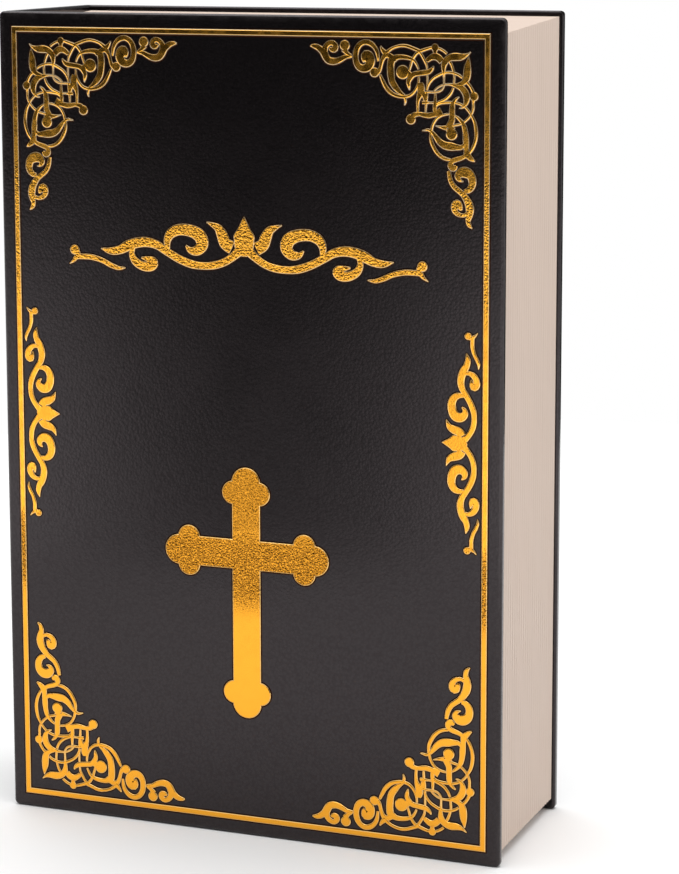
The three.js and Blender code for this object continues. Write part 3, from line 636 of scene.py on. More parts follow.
@dataclass(frozen=True)
class GoldFoil(Finish):
    """Hot-stamped foil: a mirror that is crinkled where it was pressed hardest, with a painted highlight along
    its rims and a painted shadow line round its foot.

    The heights are in metres from the tail, and the distances across in metres from the middle.
    """

    depth_mm: float = 0.14
    gloss_below: float = 0.03
    gloss_above: float = 0.04
    # Painted reflection tone: the olive that the foil turns to higher up the cover, with the heights and shares
    # of its rise.
    olive: Colour = (0.92, 0.45, 0.055)
    olive_up: Span = (0.13, 0.2)
    olive_share: Span = (-0.15, 0.85)
    # Painted highlight on the rims: a pale colour low on the cover and a darker, browner one higher up.
    rim_highlight: Colour = (1.0, 0.63, 0.23)
    rim_highlight_upper: Colour = (0.44, 0.345, 0.22)
    crease: Colour = (0.3, 0.12, 0.012)
    # Painted shadow line round the foil's foot, carried by the skirt.
    outline_shadow: Colour = (0.03, 0.009, 0.003)
    foot_up: Span = (0.064, 0.074)
    arms_up: Span = (0.085, 0.095)
    head_up: Span = (0.12, 0.126)
    head_across: Span = (0.02, 0.03)
    head_share: float = 0.36
    head_crease: float = 0.8
    flourish_up: float = 0.176
    flourish_reach: Span = (0.006, 0.024)
    flourish_share: Span = (0.6, 0.06)
    crinkle_mm: float = 0.62
    crinkle_share: float = 0.6
    warp_scale: float = 700.0
    warp_reach: float = 0.0009
    ripple_mm: float = 0.42
    ripple_share: float = 0.5
    swell_mm: float = 9.0
    swell_share: float = 0.15
    swell_tone: float = 0.3
    speckle_mm: float = 0.36
    speckle_range: Span = (0.4, 0.68)
    worn_mm: float = 2.5
    worn_range: Span = (0.35, 0.65)
    slope_rim: Span = (0.0, 0.3)
    slope_roughness: float = 0.2
    rim_highlight_range: Span = (0.1, 0.4)
    outline_shadow_range: Span = (0.75, 1.0)

    def dress(self, coating: Coating) -> None:
        """Crinkles, creases and an olive tone, painted higher up the cover, over the foil's face; then a
        painted highlight on its rims and a painted shadow line round its foot.

        Args:
            coating: The material.
        """
        graph = coating.graph
        place = graph.place()
        across, _, up = graph.split(place)
        head = self._head(graph, across, up)
        pressed = self._pressed(graph, up, head)
        swell = graph.noise(place, per_metre(self.swell_mm), 1.0).outputs[0]
        amount = graph.calc("MAXIMUM", pressed, self._near_flourish(graph, up))
        rolling = graph.calc("MULTIPLY", swell, self.swell_share)
        height = graph.calc("MULTIPLY_ADD", self._crinkles(graph, place), amount, rolling)
        coating.relief(height, self.depth_mm)
        # Painted reflection: the foil's tone turns olive up the cover; the swell adds tone that differs at
        # random.
        rising = graph.spread(up, *self.olive_up, *self.olive_share)
        tone = graph.calc("MULTIPLY_ADD", swell, self.swell_tone, rising, clamp=True)
        face = graph.tint(tone, self.colour, self.olive)
        creased = graph.tint(self._creases(graph, place, up, head, pressed), face, self.crease)
        rim = graph.add("ShaderNodeAttribute", attribute_name=RIM).outputs["Fac"]
        # Painted highlight on the rims, darker higher up the cover.
        pale = graph.tint(tone, self.rim_highlight, self.rim_highlight_upper)
        edged = graph.tint(graph.spread(rim, *self.rim_highlight_range), creased, pale)
        # Painted shadow: the skirt round the foil's foot turns near black.
        coating.paint(graph.spread(rim, *self.outline_shadow_range), edged, self.outline_shadow)
        worn = graph.noise(place, per_metre(self.worn_mm)).outputs[0]
        low, high = self.roughness - self.gloss_below, self.roughness + self.gloss_above
        gloss = graph.spread(worn, *self.worn_range, low, high)
        slope = graph.spread(rim, *self.slope_rim)
        coating.gloss(graph.calc("MULTIPLY_ADD", slope, self.slope_roughness, gloss))

    def _head(self, graph: Graph, across: Socket, up: Socket) -> Socket:
        """How hard the cross's head was pressed: less than its arms, and nothing beside or above it."""
        beside = graph.spread(graph.calc("ABSOLUTE", across), *self.head_across, self.head_share, 0.0)
        return graph.calc("MULTIPLY", beside, graph.spread(up, *self.head_up, 1.0, 0.0))

    def _pressed(self, graph: Graph, up: Socket, head: Socket) -> Socket:
        """How hard the foil was pressed: fully at the cross's arms, less at its head and not at its foot."""
        arms = graph.calc("MAXIMUM", graph.spread(up, *self.arms_up, 1.0, 0.0), head)
        return graph.calc("MINIMUM", graph.spread(up, *self.foot_up), arms)

    def _near_flourish(self, graph: Graph, up: Socket) -> Socket:
        """How crinkled the foil is near the flourish's height."""
        away = graph.calc("ABSOLUTE", graph.calc("SUBTRACT", up, self.flourish_up))
        return graph.spread(away, *self.flourish_reach, *self.flourish_share)

    def _crinkles(self, graph: Graph, place: Socket) -> Socket:
        """Warped cells with ripples over them.

        Args:
            graph: The material's nodes.
            place: Object coordinates.

        Returns:
            Their height.
        """
        warp = graph.noise(place, self.warp_scale, 1.0).outputs[1]
        moved = graph.vector("MULTIPLY_ADD", warp, (self.warp_reach,) * 3, place)
        feeds = {"Vector": moved, "Scale": per_metre(self.crinkle_mm)}
        cells = graph.add("ShaderNodeTexVoronoi", feeds, feature="F1").outputs["Distance"]
        ripples = graph.noise(place, per_metre(self.ripple_mm)).outputs[0]
        rippled = graph.calc("MULTIPLY", ripples, self.ripple_share)
        return graph.calc("MULTIPLY_ADD", cells, self.crinkle_share, rippled)

    def _creases(self, graph: Graph, place: Socket, up: Socket, head: Socket, pressed: Socket) -> Socket:
        """Specks where the foil was pressed, on a duller cross's head.

        Args:
            graph: The material's nodes.
            place: Object coordinates.
            up: The height above the tail.
            head: How hard the cross's head was pressed.
            pressed: How hard the foil was pressed.

        Returns:
            The share of the crease's colour.
        """
        speckle = graph.noise(place, per_metre(self.speckle_mm), 1.0).outputs[0]
        specks = graph.spread(speckle, *self.speckle_range, 1.0, 0.0)
        dull = graph.calc("MULTIPLY", head, graph.spread(up, *self.arms_up, 0.0, self.head_crease))
        return graph.calc("MULTIPLY_ADD", specks, pressed, dull, clamp=True)


@dataclass(frozen=True)
class MouldedLeaves(Finish):
    """Cream plastic with the fine lines of a block of leaves, greyer in the creases."""

    cell_mm: float = 0.4
    patch_mm: float = 30.0
    depth_mm: float = 0.012
    shade: Colour = (0.45, 0.36, 0.28)
    shade_range: Span = (0.15, 0.55)
    shade_share: float = 0.12
    fine_pitch: Point = (9.0, 2600.0, 9.0)
    fine_contrast: float = 2.2
    fine_share: float = 0.55
    broad_pitch: Point = (4.0, 420.0, 4.0)
    broad_contrast: float = 2.0
    broad_share: float = 0.45
    grain_share: float = 0.1
    groove_share: float = 0.2

    def dress(self, coating: Coating) -> None:
        """Lines that run with the leaves on every side of the block.

        Args:
            coating: The material.
        """
        graph = coating.graph
        grain = coating.grain(self)
        broad = graph.calc("MULTIPLY", coating.lines(self.broad_pitch, self.broad_contrast), self.broad_share)
        fine = coating.lines(self.fine_pitch, self.fine_contrast)
        lines = graph.calc("MULTIPLY_ADD", fine, self.fine_share, broad)
        coating.paint(graph.spread(lines, *self.shade_range, self.shade_share, 0.0), self.colour, self.shade)
        coating.gloss(coating.patched(grain, self))
        height = graph.calc("MULTIPLY_ADD", grain["Height"], self.grain_share, lines)
        coating.relief(height, self.depth_mm, self._softened(graph))

    def _softened(self, graph: Graph) -> Socket:
        """The way the surface faces, with its grooves eased as light inside the plastic eases them.

        Args:
            graph: The material's nodes.

        Returns:
            The normal, in world space.
        """
        facing = graph.add("ShaderNodeTexCoord").outputs["Normal"]
        eased = graph.vector("NORMALIZE", graph.vector("MULTIPLY", facing, (1.0, self.groove_share, 1.0)))
        turned = graph.add("ShaderNodeVectorTransform", {0: eased}, vector_type="NORMAL",
                           convert_from="OBJECT", convert_to="WORLD")
        return turned.outputs[0]


@dataclass(frozen=True)
class Board(Finish):
    """Binder's board or lining paper: short fibres and a slow mottle."""

    softness: float = 0.7
    patch_mm: float = 9.0
    depth_mm: float = 0.03
    gloss_below: float = 0.06
    gloss_above: float = 0.0
    fleck: Colour = (0.1, 0.09, 0.08)
    fleck_range: Span = (0.55, 0.85)
    fibre_pitch: Point = (260.0, 260.0, 1500.0)
    fibre_contrast: float = 2.4
    fibre_share: float = 0.6

    def dress(self, coating: Coating) -> None:
        """Flecks and fibres.

        Args:
            coating: The material.
        """
        graph = coating.graph
        grain = coating.grain(self)
        fibres = coating.lines(self.fibre_pitch, self.fibre_contrast)
        share = graph.calc("MULTIPLY", graph.spread(fibres, *self.fleck_range), grain["Patches"])
        coating.paint(share, self.colour, self.fleck)
        coating.gloss(coating.patched(grain, self))
        coating.relief(graph.calc("MULTIPLY_ADD", fibres, self.fibre_share, grain["Height"]), self.depth_mm)


@dataclass(frozen=True)
class PowderCoat(Finish):
    """Black satin coat with its fine orange peel, thinner and paler along the folded edges."""

    cell_mm: float = 0.9
    softness: float = 1.0
    patch_mm: float = 35.0
    gloss_above: float = 0.06
    worn: Colour = (0.09, 0.09, 0.093)
    worn_share: float = 0.45
    rub_mm: float = 1.6
    rub_patch_mm: float = 5.0

    def dress(self, coating: Coating) -> None:
        """Orange peel, slow patches of gloss, and rubbed edges round the strongbox.

        Args:
            coating: The material.
        """
        peel = coating.grain(self)
        rub = coating.rub(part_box("strongbox"), self.rub_mm, self.rub_patch_mm)
        coating.paint(coating.graph.calc("MULTIPLY", rub, self.worn_share), self.colour, self.worn)
        coating.gloss(coating.patched(peel, self))
        coating.relief(peel["Height"], self.depth_mm)


@dataclass(frozen=True)
class WorkedMetal(Finish):
    """Plated, cast or polished metal: drawn lines in its gloss, and a slow change of tone."""

    metallic: float = 1.0
    cell_mm: float = 0.35
    softness: float = 0.6
    patch_mm: float = 4.0
    depth_mm: float = 0.004
    dull: Colour = (0.4, 0.4, 0.4)
    dull_range: Span = (0.45, 0.75)
    dull_share: float = 0.5
    pitch: Point = (1500.0, 90.0, 1500.0)
    contrast: float = 1.8
    line_range: Span = (0.2, 0.8)
    line_share: float = 0.8
    swing: float = 0.12

    def dress(self, coating: Coating) -> None:
        """Lines and faint spots.

        Args:
            coating: The material.
        """
        graph = coating.graph
        grain = coating.grain(self)
        lines = coating.lines(self.pitch, self.contrast)
        spots = graph.spread(grain["Patches"], *self.dull_range, 0.0, self.dull_share)
        coating.paint(spots, self.colour, self.dull)
        low, high = self.roughness - self.swing / 2, self.roughness + self.swing / 2
        coating.gloss(graph.spread(lines, *self.line_range, low, high))
        coating.relief(graph.calc("MULTIPLY_ADD", lines, self.line_share, grain["Height"]), self.depth_mm)


FINISHES: dict[Slot, Finish] = {
    Slot.LEATHERCLOTH: Leathercloth((0.003, 0.0024, 0.0026), 0.14, specular=0.32, tint=(1.0, 0.79, 0.84),
                                    coat_roughness=0.14),
    Slot.GOLD_FOIL: GoldFoil((0.98, 0.425, 0.036), 0.13, metallic=1.0),
    Slot.PAGE_PLASTIC: MouldedLeaves((0.72, 0.58, 0.49), 0.55, specular=0.35),
    Slot.GREYBOARD: Board((0.35, 0.3, 0.24), 0.85, specular=0.2),
    Slot.ENDPAPER: Board((0.022, 0.022, 0.024), 0.82, specular=0.25, fleck=(0.04, 0.04, 0.042), cell_mm=0.35,
                         depth_mm=0.015),
    Slot.BLACK_STEEL: PowderCoat((0.014, 0.014, 0.016), 0.36),
    Slot.PLATED_STEEL: WorkedMetal((0.6, 0.59, 0.57), 0.34),
    Slot.LOCK_CHROME: WorkedMetal((0.82, 0.82, 0.84), 0.1, swing=0.08, dull=(0.7, 0.7, 0.72), depth_mm=0.001),
    Slot.PLUG_METAL: WorkedMetal((0.24, 0.24, 0.25), 0.34, dull=(0.14, 0.14, 0.15)),
    Slot.WAFER_BRASS: WorkedMetal((0.72, 0.5, 0.2), 0.3, dull=(0.5, 0.34, 0.14)),
}


@dataclass
class Wardrobe:
    """Every finish as a material, and the CAD nodes dressed in them."""

    materials: dict[Slot, bpy.types.Material] = field(default_factory=dict)

    def make(self) -> None:
        """Builds the shared effects and one material for each slot."""
        effects = Effects()
        for slot, finish in FINISHES.items():
            self.materials[slot] = finish.material(slot, effects)
            LOG.info("finish %s", slot.value)

    def dress_frame(self) -> None:
        """Puts each CAD node in its slot's material."""
        for row in frame["record"]["subparts"]:
            mesh = frame["nodes"][row["node"]].data
            mesh.materials.clear()
            mesh.materials.append(self.materials[Slot(row["material_slot"])])

    def put_on(self, piece: bpy.types.Object, slot: Slot) -> None:
        """Dresses a new piece in its slot's material.

        Args:
            piece: The piece.
            slot: The record's slot that it takes its finish from.
        """
        piece.data.materials.clear()
        piece.data.materials.append(self.materials[slot])


def new_piece(name: str, mesh: bpy.types.Mesh) -> bpy.types.Object:
    """Links a mesh to the scene as an object at the origin.

    Args:
        name: The object's name.
        mesh: Its mesh, with its place in it.

    Returns:
        The object.
    """
    piece = bpy.data.objects.new(name, mesh)
    bpy.context.scene.collection.objects.link(piece)
    return piece


def mesh_from(name: str, shape: bmesh.types.BMesh) -> bpy.types.Mesh:
    """Makes a mesh from a bmesh, which is freed.

    Args:
        name: The mesh's name.
        shape: The bmesh.

    Returns:
        The mesh.
    """
    mesh = bpy.data.meshes.new(name)
    shape.to_mesh(mesh)
    shape.free()
    return mesh


@dataclass
class ScrollTree:
    """The Geometry Nodes tree that presses strokes and dots of foil onto the cover's face."""

    step_mm: float = 0.35
    height_mm: float = 0.22
    sink_mm: float = 0.02
    shoulder_mm: float = 0.42
    unevenness_mm: float = 0.02
    skirt_mm: float = 0.5
    seed: int = 7
    width_name: str = "half_width"
    rim_points: int = 13
    dot_segments: int = 28
    dot_rings: int = 14
    tree: bpy.types.NodeTree = field(init=False)
    graph: Graph = field(init=False)
    given: bpy.types.NodeOutputs = field(init=False)

    def __post_init__(self) -> None:
        """Makes the tree and its named inputs, and wires it."""
        self.tree = bpy.data.node_groups.new("Stamped strokes", "GeometryNodeTree")
        sockets = self.tree.interface
        sockets.new_socket("Strokes", in_out="INPUT", socket_type="NodeSocketGeometry")
        for name, size in (("Step", self.step_mm), ("Face", 0.0), ("Height", self.height_mm),
                           ("Sink", self.sink_mm), ("Shoulder", self.shoulder_mm),
                           ("Unevenness", self.unevenness_mm), ("Skirt", self.skirt_mm)):
            sockets.new_socket(name, in_out="INPUT", socket_type="NodeSocketFloat").default_value = size * MM
        sockets.new_socket("Seed", in_out="INPUT", socket_type="NodeSocketInt").default_value = self.seed
        sockets.new_socket("Foil", in_out="INPUT", socket_type="NodeSocketMaterial")
        sockets.new_socket("Pressed", in_out="OUTPUT", socket_type="NodeSocketGeometry")
        self.graph = Graph(self.tree)
        self.given = self.tree.nodes.new("NodeGroupInput").outputs
        self._wire()

    def _node(self, kind: str, feeds: dict[str | int, Feed] | None = None, **settings: Feed) -> Socket:
        """The first output of a new node of Geometry Nodes."""
        return self.graph.add(f"GeometryNode{kind}", feeds, **settings).outputs[0]

    def _wire(self) -> None:
        """Sweeps the strokes, sets the dots, and flattens both to the foil's thickness."""
        half = self._node("InputNamedAttribute", {"Name": self.width_name}, data_type="FLOAT")
        both = self.graph.add("GeometryNodeJoinGeometry")
        for part in (self._tubes(half), self._dots(half)):
            self.tree.links.new(part, both.inputs[0])
        flat = self._flattened(self._skirted(self._rimmed(both.outputs[0])))
        crisp = self._node("SetShadeSmooth", {"Geometry": flat, "Shade Smooth": False})
        real = self._node("RealizeInstances", {"Geometry": crisp})
        foil = self._node("SetMaterial", {"Geometry": real, "Material": self.given["Foil"]})
        self.graph.add("NodeGroupOutput", {"Pressed": foil})

    def _tubes(self, half: Socket) -> Socket:
        """Runs a tube along each stroke.

        Args:
            half: The tube's radius at each point.

        Returns:
            The tubes, each half a round and closed by a flat back.
        """
        lines = self._node("MeshToCurve", {"Mesh": self.given["Strokes"]})
        smooth = self._node("CurveSplineType", {"Curve": lines}, spline_type="CATMULL_ROM")
        even = self._node("ResampleCurve", {"Curve": smooth, "Length": self.given["Step"]}, mode="LENGTH")
        faced = self._node("SetCurveNormal", {"Curve": even, "Normal": (0.0, -1.0, 0.0)}, mode="FREE")
        sweep = {"Start Angle": -math.pi / 2, "Sweep Angle": math.pi}
        arc = self._node("CurveArc", {"Resolution": self.rim_points, "Radius": 1.0, **sweep})
        section = self._node("SetSplineCyclic", {"Geometry": arc, "Cyclic": True})
        feeds = {"Curve": faced, "Profile Curve": section, "Scale": half, "Fill Caps": True}
        return self._node("CurveToMesh", feeds)

    def _dots(self, half: Socket) -> Socket:
        """Puts a ball on each lone point.

        Args:
            half: The ball's radius at each point.

        Returns:
            The balls.
        """
        feeds = {2: self._node("InputMeshVertexNeighbors"), 3: 0}
        lone = self.graph.add("FunctionNodeCompare", feeds, data_type="INT", operation="EQUAL")
        points = self._node("MeshToPoints", {"Mesh": self.given["Strokes"], "Selection": lone.outputs[0]})
        feeds = {"Segments": self.dot_segments, "Rings": self.dot_rings, "Radius": 1.0}
        ball = self._node("MeshUVSphere", feeds)
        feeds = {"Points": points, "Instance": ball, "Rotation": (math.pi / 2, 0.0, 0.0), "Scale": half}
        return self._node("RealizeInstances", {"Geometry": self._node("InstanceOnPoints", feeds)})

    def _out(self) -> Socket:
        """How far each point stands out from the cover's face."""
        y = self.graph.split(self._node("InputPosition"))[1]
        return self.graph.calc("SUBTRACT", self.given["Face"], y)

    def _at_foot(self) -> Socket:
        """One on the points that stand on the cover's face, and nought on the rest."""
        return self.graph.calc("LESS_THAN", self.graph.calc("ABSOLUTE", self._out()), SAME)

    def _rimmed(self, shape: Socket) -> Socket:
        """Notes how near each point is to the foot of the shoulder, for the foil's finish.

        Args:
            shape: The tubes and balls.

        Returns:
            The same with the rim attribute.
        """
        graph = self.graph
        share = graph.calc("DIVIDE", self._out(), self.given["Shoulder"], clamp=True)
        value = graph.calc("ADD", graph.calc("SUBTRACT", 1.0, share), self._at_foot())
        feeds = {"Geometry": shape, "Name": RIM, "Value": value}
        return self._node("StoreNamedAttribute", feeds, data_type="FLOAT", domain="POINT")

    def _skirted(self, shape: Socket) -> Socket:
        """Draws the foot of every part outwards into a skirt, which carries the painted shadow line round the
        foil.

        Args:
            shape: The tubes and balls.

        Returns:
            The same with a skirt.
        """
        graph = self.graph
        level = graph.vector("MULTIPLY", self._node("InputNormal"), (1.0, 0.0, 1.0))
        reach = graph.calc("MULTIPLY", self.given["Skirt"], self._at_foot())
        offset = graph.scaled(graph.vector("NORMALIZE", level), reach)
        return self._node("SetPosition", {"Geometry": shape, "Offset": offset})

    def _flattened(self, shape: Socket) -> Socket:
        """Presses every part flat: sloped shoulder, level top that is a hair lower on some, sunk underside.

        Args:
            shape: The tubes and balls with their skirts.

        Returns:
            The foil.
        """
        graph, given = self.graph, self.given
        x, _, z = graph.split(self._node("InputPosition"))
        out = self._out()
        feeds = {"ID": self._node("InputMeshIsland"), "Seed": given["Seed"]}
        chance = graph.add("FunctionNodeRandomValue", feeds, data_type="FLOAT").outputs[1]
        top = graph.calc("SUBTRACT", given["Height"], graph.calc("MULTIPLY", chance, given["Unevenness"]))
        raised = graph.calc("MULTIPLY", top, graph.calc("DIVIDE", out, given["Shoulder"], clamp=True))
        under = graph.calc("MULTIPLY", graph.calc("LESS_THAN", out, SAME), given["Sink"])
        level = graph.calc("SUBTRACT", given["Face"], graph.calc("SUBTRACT", raised, under))
        moved = graph.add("ShaderNodeCombineXYZ", {0: x, 1: level, 2: z}).outputs[0]
        return self._node("SetPosition", {"Geometry": shape, "Position": moved})

    def pressed(self, name: str, strokes: Scrollwork, face: float,
                foil: bpy.types.Material) -> bpy.types.Object:
        """Runs the tree on an ornament.

        Args:
            name: The new piece's name.
            strokes: The ornament's strokes.
            face: The cover face's y, in metres.
            foil: The foil's material.

        Returns:
            The pressed ornament as a plain mesh object.
        """
        source = new_piece(f"{name}_strokes", self._lines(name, strokes, face))
        modifier = source.modifiers.new("Press", "NODES")
        modifier.node_group = self.tree
        values = {"Face": face, "Foil": foil, "Seed": self.seed}
        for item in self.tree.interface.items_tree:
            if item.in_out == "INPUT" and item.name in values:
                modifier[item.identifier] = values[item.name]
        evaluated = source.evaluated_get(bpy.context.evaluated_depsgraph_get())
        mesh = bpy.data.meshes.new_from_object(evaluated)
        mesh.name = name
        bpy.data.objects.remove(source)
        return new_piece(name, mesh)

    def _lines(self, name: str, strokes: Scrollwork, face: float) -> bpy.types.Mesh:
        """Draws the strokes as edges and lone points, with their half widths.

        Args:
            name: The new piece's name.
            strokes: The ornament's strokes.
            face: The cover face's y, in metres.

        Returns:
            The mesh of edges.
        """
        points, edges, halves = [], [], []
        for stroke in strokes.strokes:
            first = len(points)
            points += [(across * MM, face, up * MM) for across, up, _ in stroke]
            halves += [half * MM for _, _, half in stroke]
            edges += [(i, i + 1) for i in range(first, len(points) - 1)]
        mesh = bpy.data.meshes.new(f"{name}_lines")
        mesh.from_pydata(points, edges, [])
        mesh.attributes.new(self.width_name, "FLOAT", "POINT").data.foreach_set("value", halves)
        return mesh


@dataclass
class CoverFoil:
    """The foil on the front cover: border, cross, corners, sides and the flourish over the cross."""

    wardrobe: Wardrobe
    middle: float = 120.0
    corner_swell: float = 0.07
    side_tip: float = 59.7
    side_share: float = 0.94
    side_lift: float = 1.9
    flourish_up: float = 174.6
    flourish_stretch: float = 1.77
    flourish_rise: float = 1.45
    flourish_weight: float = 1.35
    rim_mm: float = 0.3
    rim_drop_mm: float = 0.2
    skirt_mm: float = 0.5
    sink_mm: float = 0.02
    flat_degrees: float = 0.5
    wall_lean: float = 0.5
    least_mitre: float = 0.4

    def build(self) -> None:
        """Presses every ornament and softens the edges of the border and the cross."""
        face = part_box("foil_border")[1].y
        tree = ScrollTree()
        foil = self.wardrobe.materials[Slot.GOLD_FOIL]
        for name, strokes in self._ornaments().items():
            piece = tree.pressed(name, strokes, face, foil)
            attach(piece, Body.COVER.value)
            LOG.info("%s: %d strokes, %d faces", name, len(strokes.strokes), len(piece.data.polygons))
        for node in ("foil_border", "foil_cross"):
            self._soften(node)

    def _ornaments(self) -> dict[str, Scrollwork]:
        """Draws every ornament from the one corner and the one side.

        Returns:
            The ornaments by the names of their pieces.
        """
        corner = Scrollwork.read(CORNER_STROKES).mapped(lambda across, up, half: (
            across, up, half + self.corner_swell))
        half_side = Scrollwork.read(SIDE_STROKES)
        side = half_side + half_side.flipped_up(self.middle) + Scrollwork.read(SIDE_LEAF)
        beside = side.mapped(lambda across, up, half: (
            (across + self.side_tip) * self.side_share - self.side_tip,
            up + self.side_lift,
            half * self.side_share,
        ))
        return {
            "corner_foil_tail_spine": corner,
            "corner_foil_tail_fore": corner.flipped_across(),
            "corner_foil_head_spine": corner.flipped_up(self.middle),
            "corner_foil_head_fore": corner.flipped_up(self.middle).flipped_across(),
            "side_foil_spine": beside,
            "side_foil_fore": beside.flipped_across(),
            "flourish_foil": self._flourish(side),
        }

    def _flourish(self, side: Scrollwork) -> Scrollwork:
        """Lays the side ornament level and draws it out, for over the cross.

        Args:
            side: The side ornament.

        Returns:
            The flourish.
        """
        reach = [across for stroke in side.strokes for across, _, _ in stroke]
        base = (max(reach) + min(reach)) / 2
        return side.mapped(lambda across, up, half: (
            (up - self.middle) * self.flourish_stretch,
            self.flourish_up + (across - base) * self.flourish_rise,
            half * self.flourish_weight,
        ))

    def _soften(self, node: str) -> None:
        """Replaces a flat foil node with a copy whose upper edges slope down to the cloth.

        Args:
            node: The CAD node.
        """
        high, low = (corner.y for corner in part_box(node))
        shape = bmesh.new()
        shape.from_mesh(frame["nodes"][node].data)
        bmesh.ops.remove_doubles(shape, verts=shape.verts, dist=SAME)
        flat = math.radians(self.flat_degrees)
        bmesh.ops.dissolve_limit(shape, angle_limit=flat, verts=shape.verts, edges=shape.edges)
        rim = shape.verts.layers.float.new(RIM)
        face = [f for f in shape.faces if all(abs(v.co.y - high) < ON_LEVEL for v in f.verts)]
        inset = bmesh.ops.inset_region(shape, faces=face, thickness=self.rim_mm * MM, use_even_offset=True)
        # The outer edge of the rim drops and carries the painted highlight.
        for vert in {v for f in inset["faces"] for v in f.verts} - {v for f in face for v in f.verts}:
            vert.co.y += self.rim_drop_mm * MM
            vert[rim] = 1.0
        # The skirt round the foot carries the painted shadow line.
        for vert, reach in self._foot(shape, low):
            vert.co += reach
            vert[rim] = 2.0
        bmesh.ops.triangulate(shape, faces=[f for f in shape.faces if len(f.verts) > 4])
        name = f"{node}_pressed"
        piece = new_piece(name, mesh_from(name, shape))
        self.wardrobe.put_on(piece, Slot.GOLD_FOIL)
        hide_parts(node)
        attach(piece, Body.COVER.value)
        LOG.info("%s: %d faces", name, len(piece.data.polygons))

    def _foot(self, shape: bmesh.types.BMesh, level: float) -> list[tuple[bmesh.types.BMVert, Vector]]:
        """Finds the points on the cloth, and the step that draws each outwards and a hair under the cloth.

        Args:
            shape: The foil.
            level: The cloth's y, in metres.

        Returns:
            Each point with its step.
        """
        shape.normal_update()
        under = Vector((0.0, self.sink_mm * MM, 0.0))
        steps = []
        for vert in (v for v in shape.verts if abs(v.co.y - level) < ON_LEVEL):
            walls = [f.normal for f in vert.link_faces if abs(f.normal.y) < self.wall_lean]
            if len(walls) < 2:
                continue
            mitre = (walls[0] + walls[1]) / max(1.0 + walls[0].dot(walls[1]), self.least_mitre)
            steps.append((vert, mitre * self.skirt_mm * MM + under))
        return steps


@dataclass
class ClothJoint:
    """The covering where it passes from the spine to the front cover and bends as the book opens."""

    wardrobe: Wardrobe
    reach_mm: float = 1.3
    proud_mm: float = 0.13
    sunk_mm: float = 0.06
    end_inset_mm: float = 1.0
    across: int = 24
    along: int = 4

    def build(self) -> None:
        """Makes the strip and dresses it."""
        spine_low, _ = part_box("case_wrap")
        _, cover_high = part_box("front_cover_wrap")
        fold = (spine_low.y + cover_high.y) / 2
        name = "joint_cloth"
        piece = new_piece(name, mesh_from(name, self._strip(spine_low.x, fold, cover_high.z)))
        self.wardrobe.put_on(piece, Slot.LEATHERCLOTH)
        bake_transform(piece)
        LOG.info("%s: %d faces", name, len(piece.data.polygons))

    def _strip(self, side: float, fold: float, top: float) -> bmesh.types.BMesh:
        """Makes a slim closed band on the outer face of the spine, feathered into it at both edges.

        Args:
            side: The spine's x, in metres.
            fold: The y that it bends about.
            top: The cover's height.

        Returns:
            The band.
        """
        shape = bmesh.new()
        inset = self.end_inset_mm * MM
        rings = []
        for k in range(self.along + 1):
            z = inset + (top - 2 * inset) * k / self.along
            rings.append([shape.verts.new((x, y, z)) for x, y in self._section(side, fold)])
        for low, high in zip(rings, rings[1:]):
            for k in range(len(low)):
                shape.faces.new((low[k - 1], low[k], high[k], high[k - 1]))
        for ring in (rings[0], rings[-1]):
            for k in range(self.across):
                shape.faces.new((ring[k], ring[k + 1], ring[-k - 2], ring[-k - 1]))
        bmesh.ops.recalc_face_normals(shape, faces=shape.faces)
        return shape

    def _section(self, side: float, fold: float) -> list[Span]:
        """Draws the band's section, out along its outer face and back along its inner one.

        Args:
            side: The spine's x, in metres.
            fold: The y that it bends about.

        Returns:
            The x and y of its points.
        """
        outer, inner = [], []
        for i in range(self.across + 1):
            t = i / self.across
            y = fold + (0.5 - t) * 2 * self.reach_mm * MM
            lift = self.proud_mm * math.sqrt(math.sin(math.pi * t)) if 0 < t < 1 else -self.sunk_mm / 2
            outer.append((side - lift * MM, y))
            inner.append((side + self.sunk_mm * MM, y))
        return outer + inner[::-1]


@dataclass(frozen=True)
class SoftBox:
    """A rectangular area light that shines at a point."""

    name: str
    place: Point
    target: Point
    width: float
    depth: float
    watts: float

    def hang(self) -> None:
        """Makes the light, unseen by the camera."""
        data = bpy.data.lights.new(self.name, "AREA")
        data.shape = "RECTANGLE"
        data.size, data.size_y = self.width, self.depth
        data.energy = self.watts
        lamp = bpy.data.objects.new(self.name, data)
        bpy.context.scene.collection.objects.link(lamp)
        aim = Vector(self.target) - Vector(self.place)
        lamp.matrix_world = Matrix.Translation(self.place) @ aim.to_track_quat("-Z", "Y").to_matrix().to_4x4()
        lamp.visible_camera = False


@dataclass
class Camera:
    """The camera that stood where the photograph was taken."""

    place: Point = (0.30156, -0.72463, 0.26889)
    yaw: float = 21.371
    pitch: float = 8.563
    roll: float = -0.096
    lens_mm: float = 110.63
    sensor_mm: float = 36.0
    shift_up: float = -0.14
    clip: Span = (0.01, 50.0)

    def build(self) -> None:
        """Makes the camera and gives it to the scene."""
        data = bpy.data.cameras.new("camera")
        data.lens = self.lens_mm
        data.sensor_width = self.sensor_mm
        data.sensor_fit = "AUTO"
        data.shift_y = self.shift_up
        data.clip_start, data.clip_end = self.clip
        camera = bpy.data.objects.new("camera", data)
        bpy.context.scene.collection.objects.link(camera)
        turn = (Matrix.Rotation(math.radians(self.yaw), 4, "Z")
                @ Matrix.Rotation(math.radians(90 - self.pitch), 4, "X")
                @ Matrix.Rotation(math.radians(self.roll), 4, "Z"))
        camera.matrix_world = Matrix.Translation(self.place) @ turn
        bpy.context.scene.camera = camera


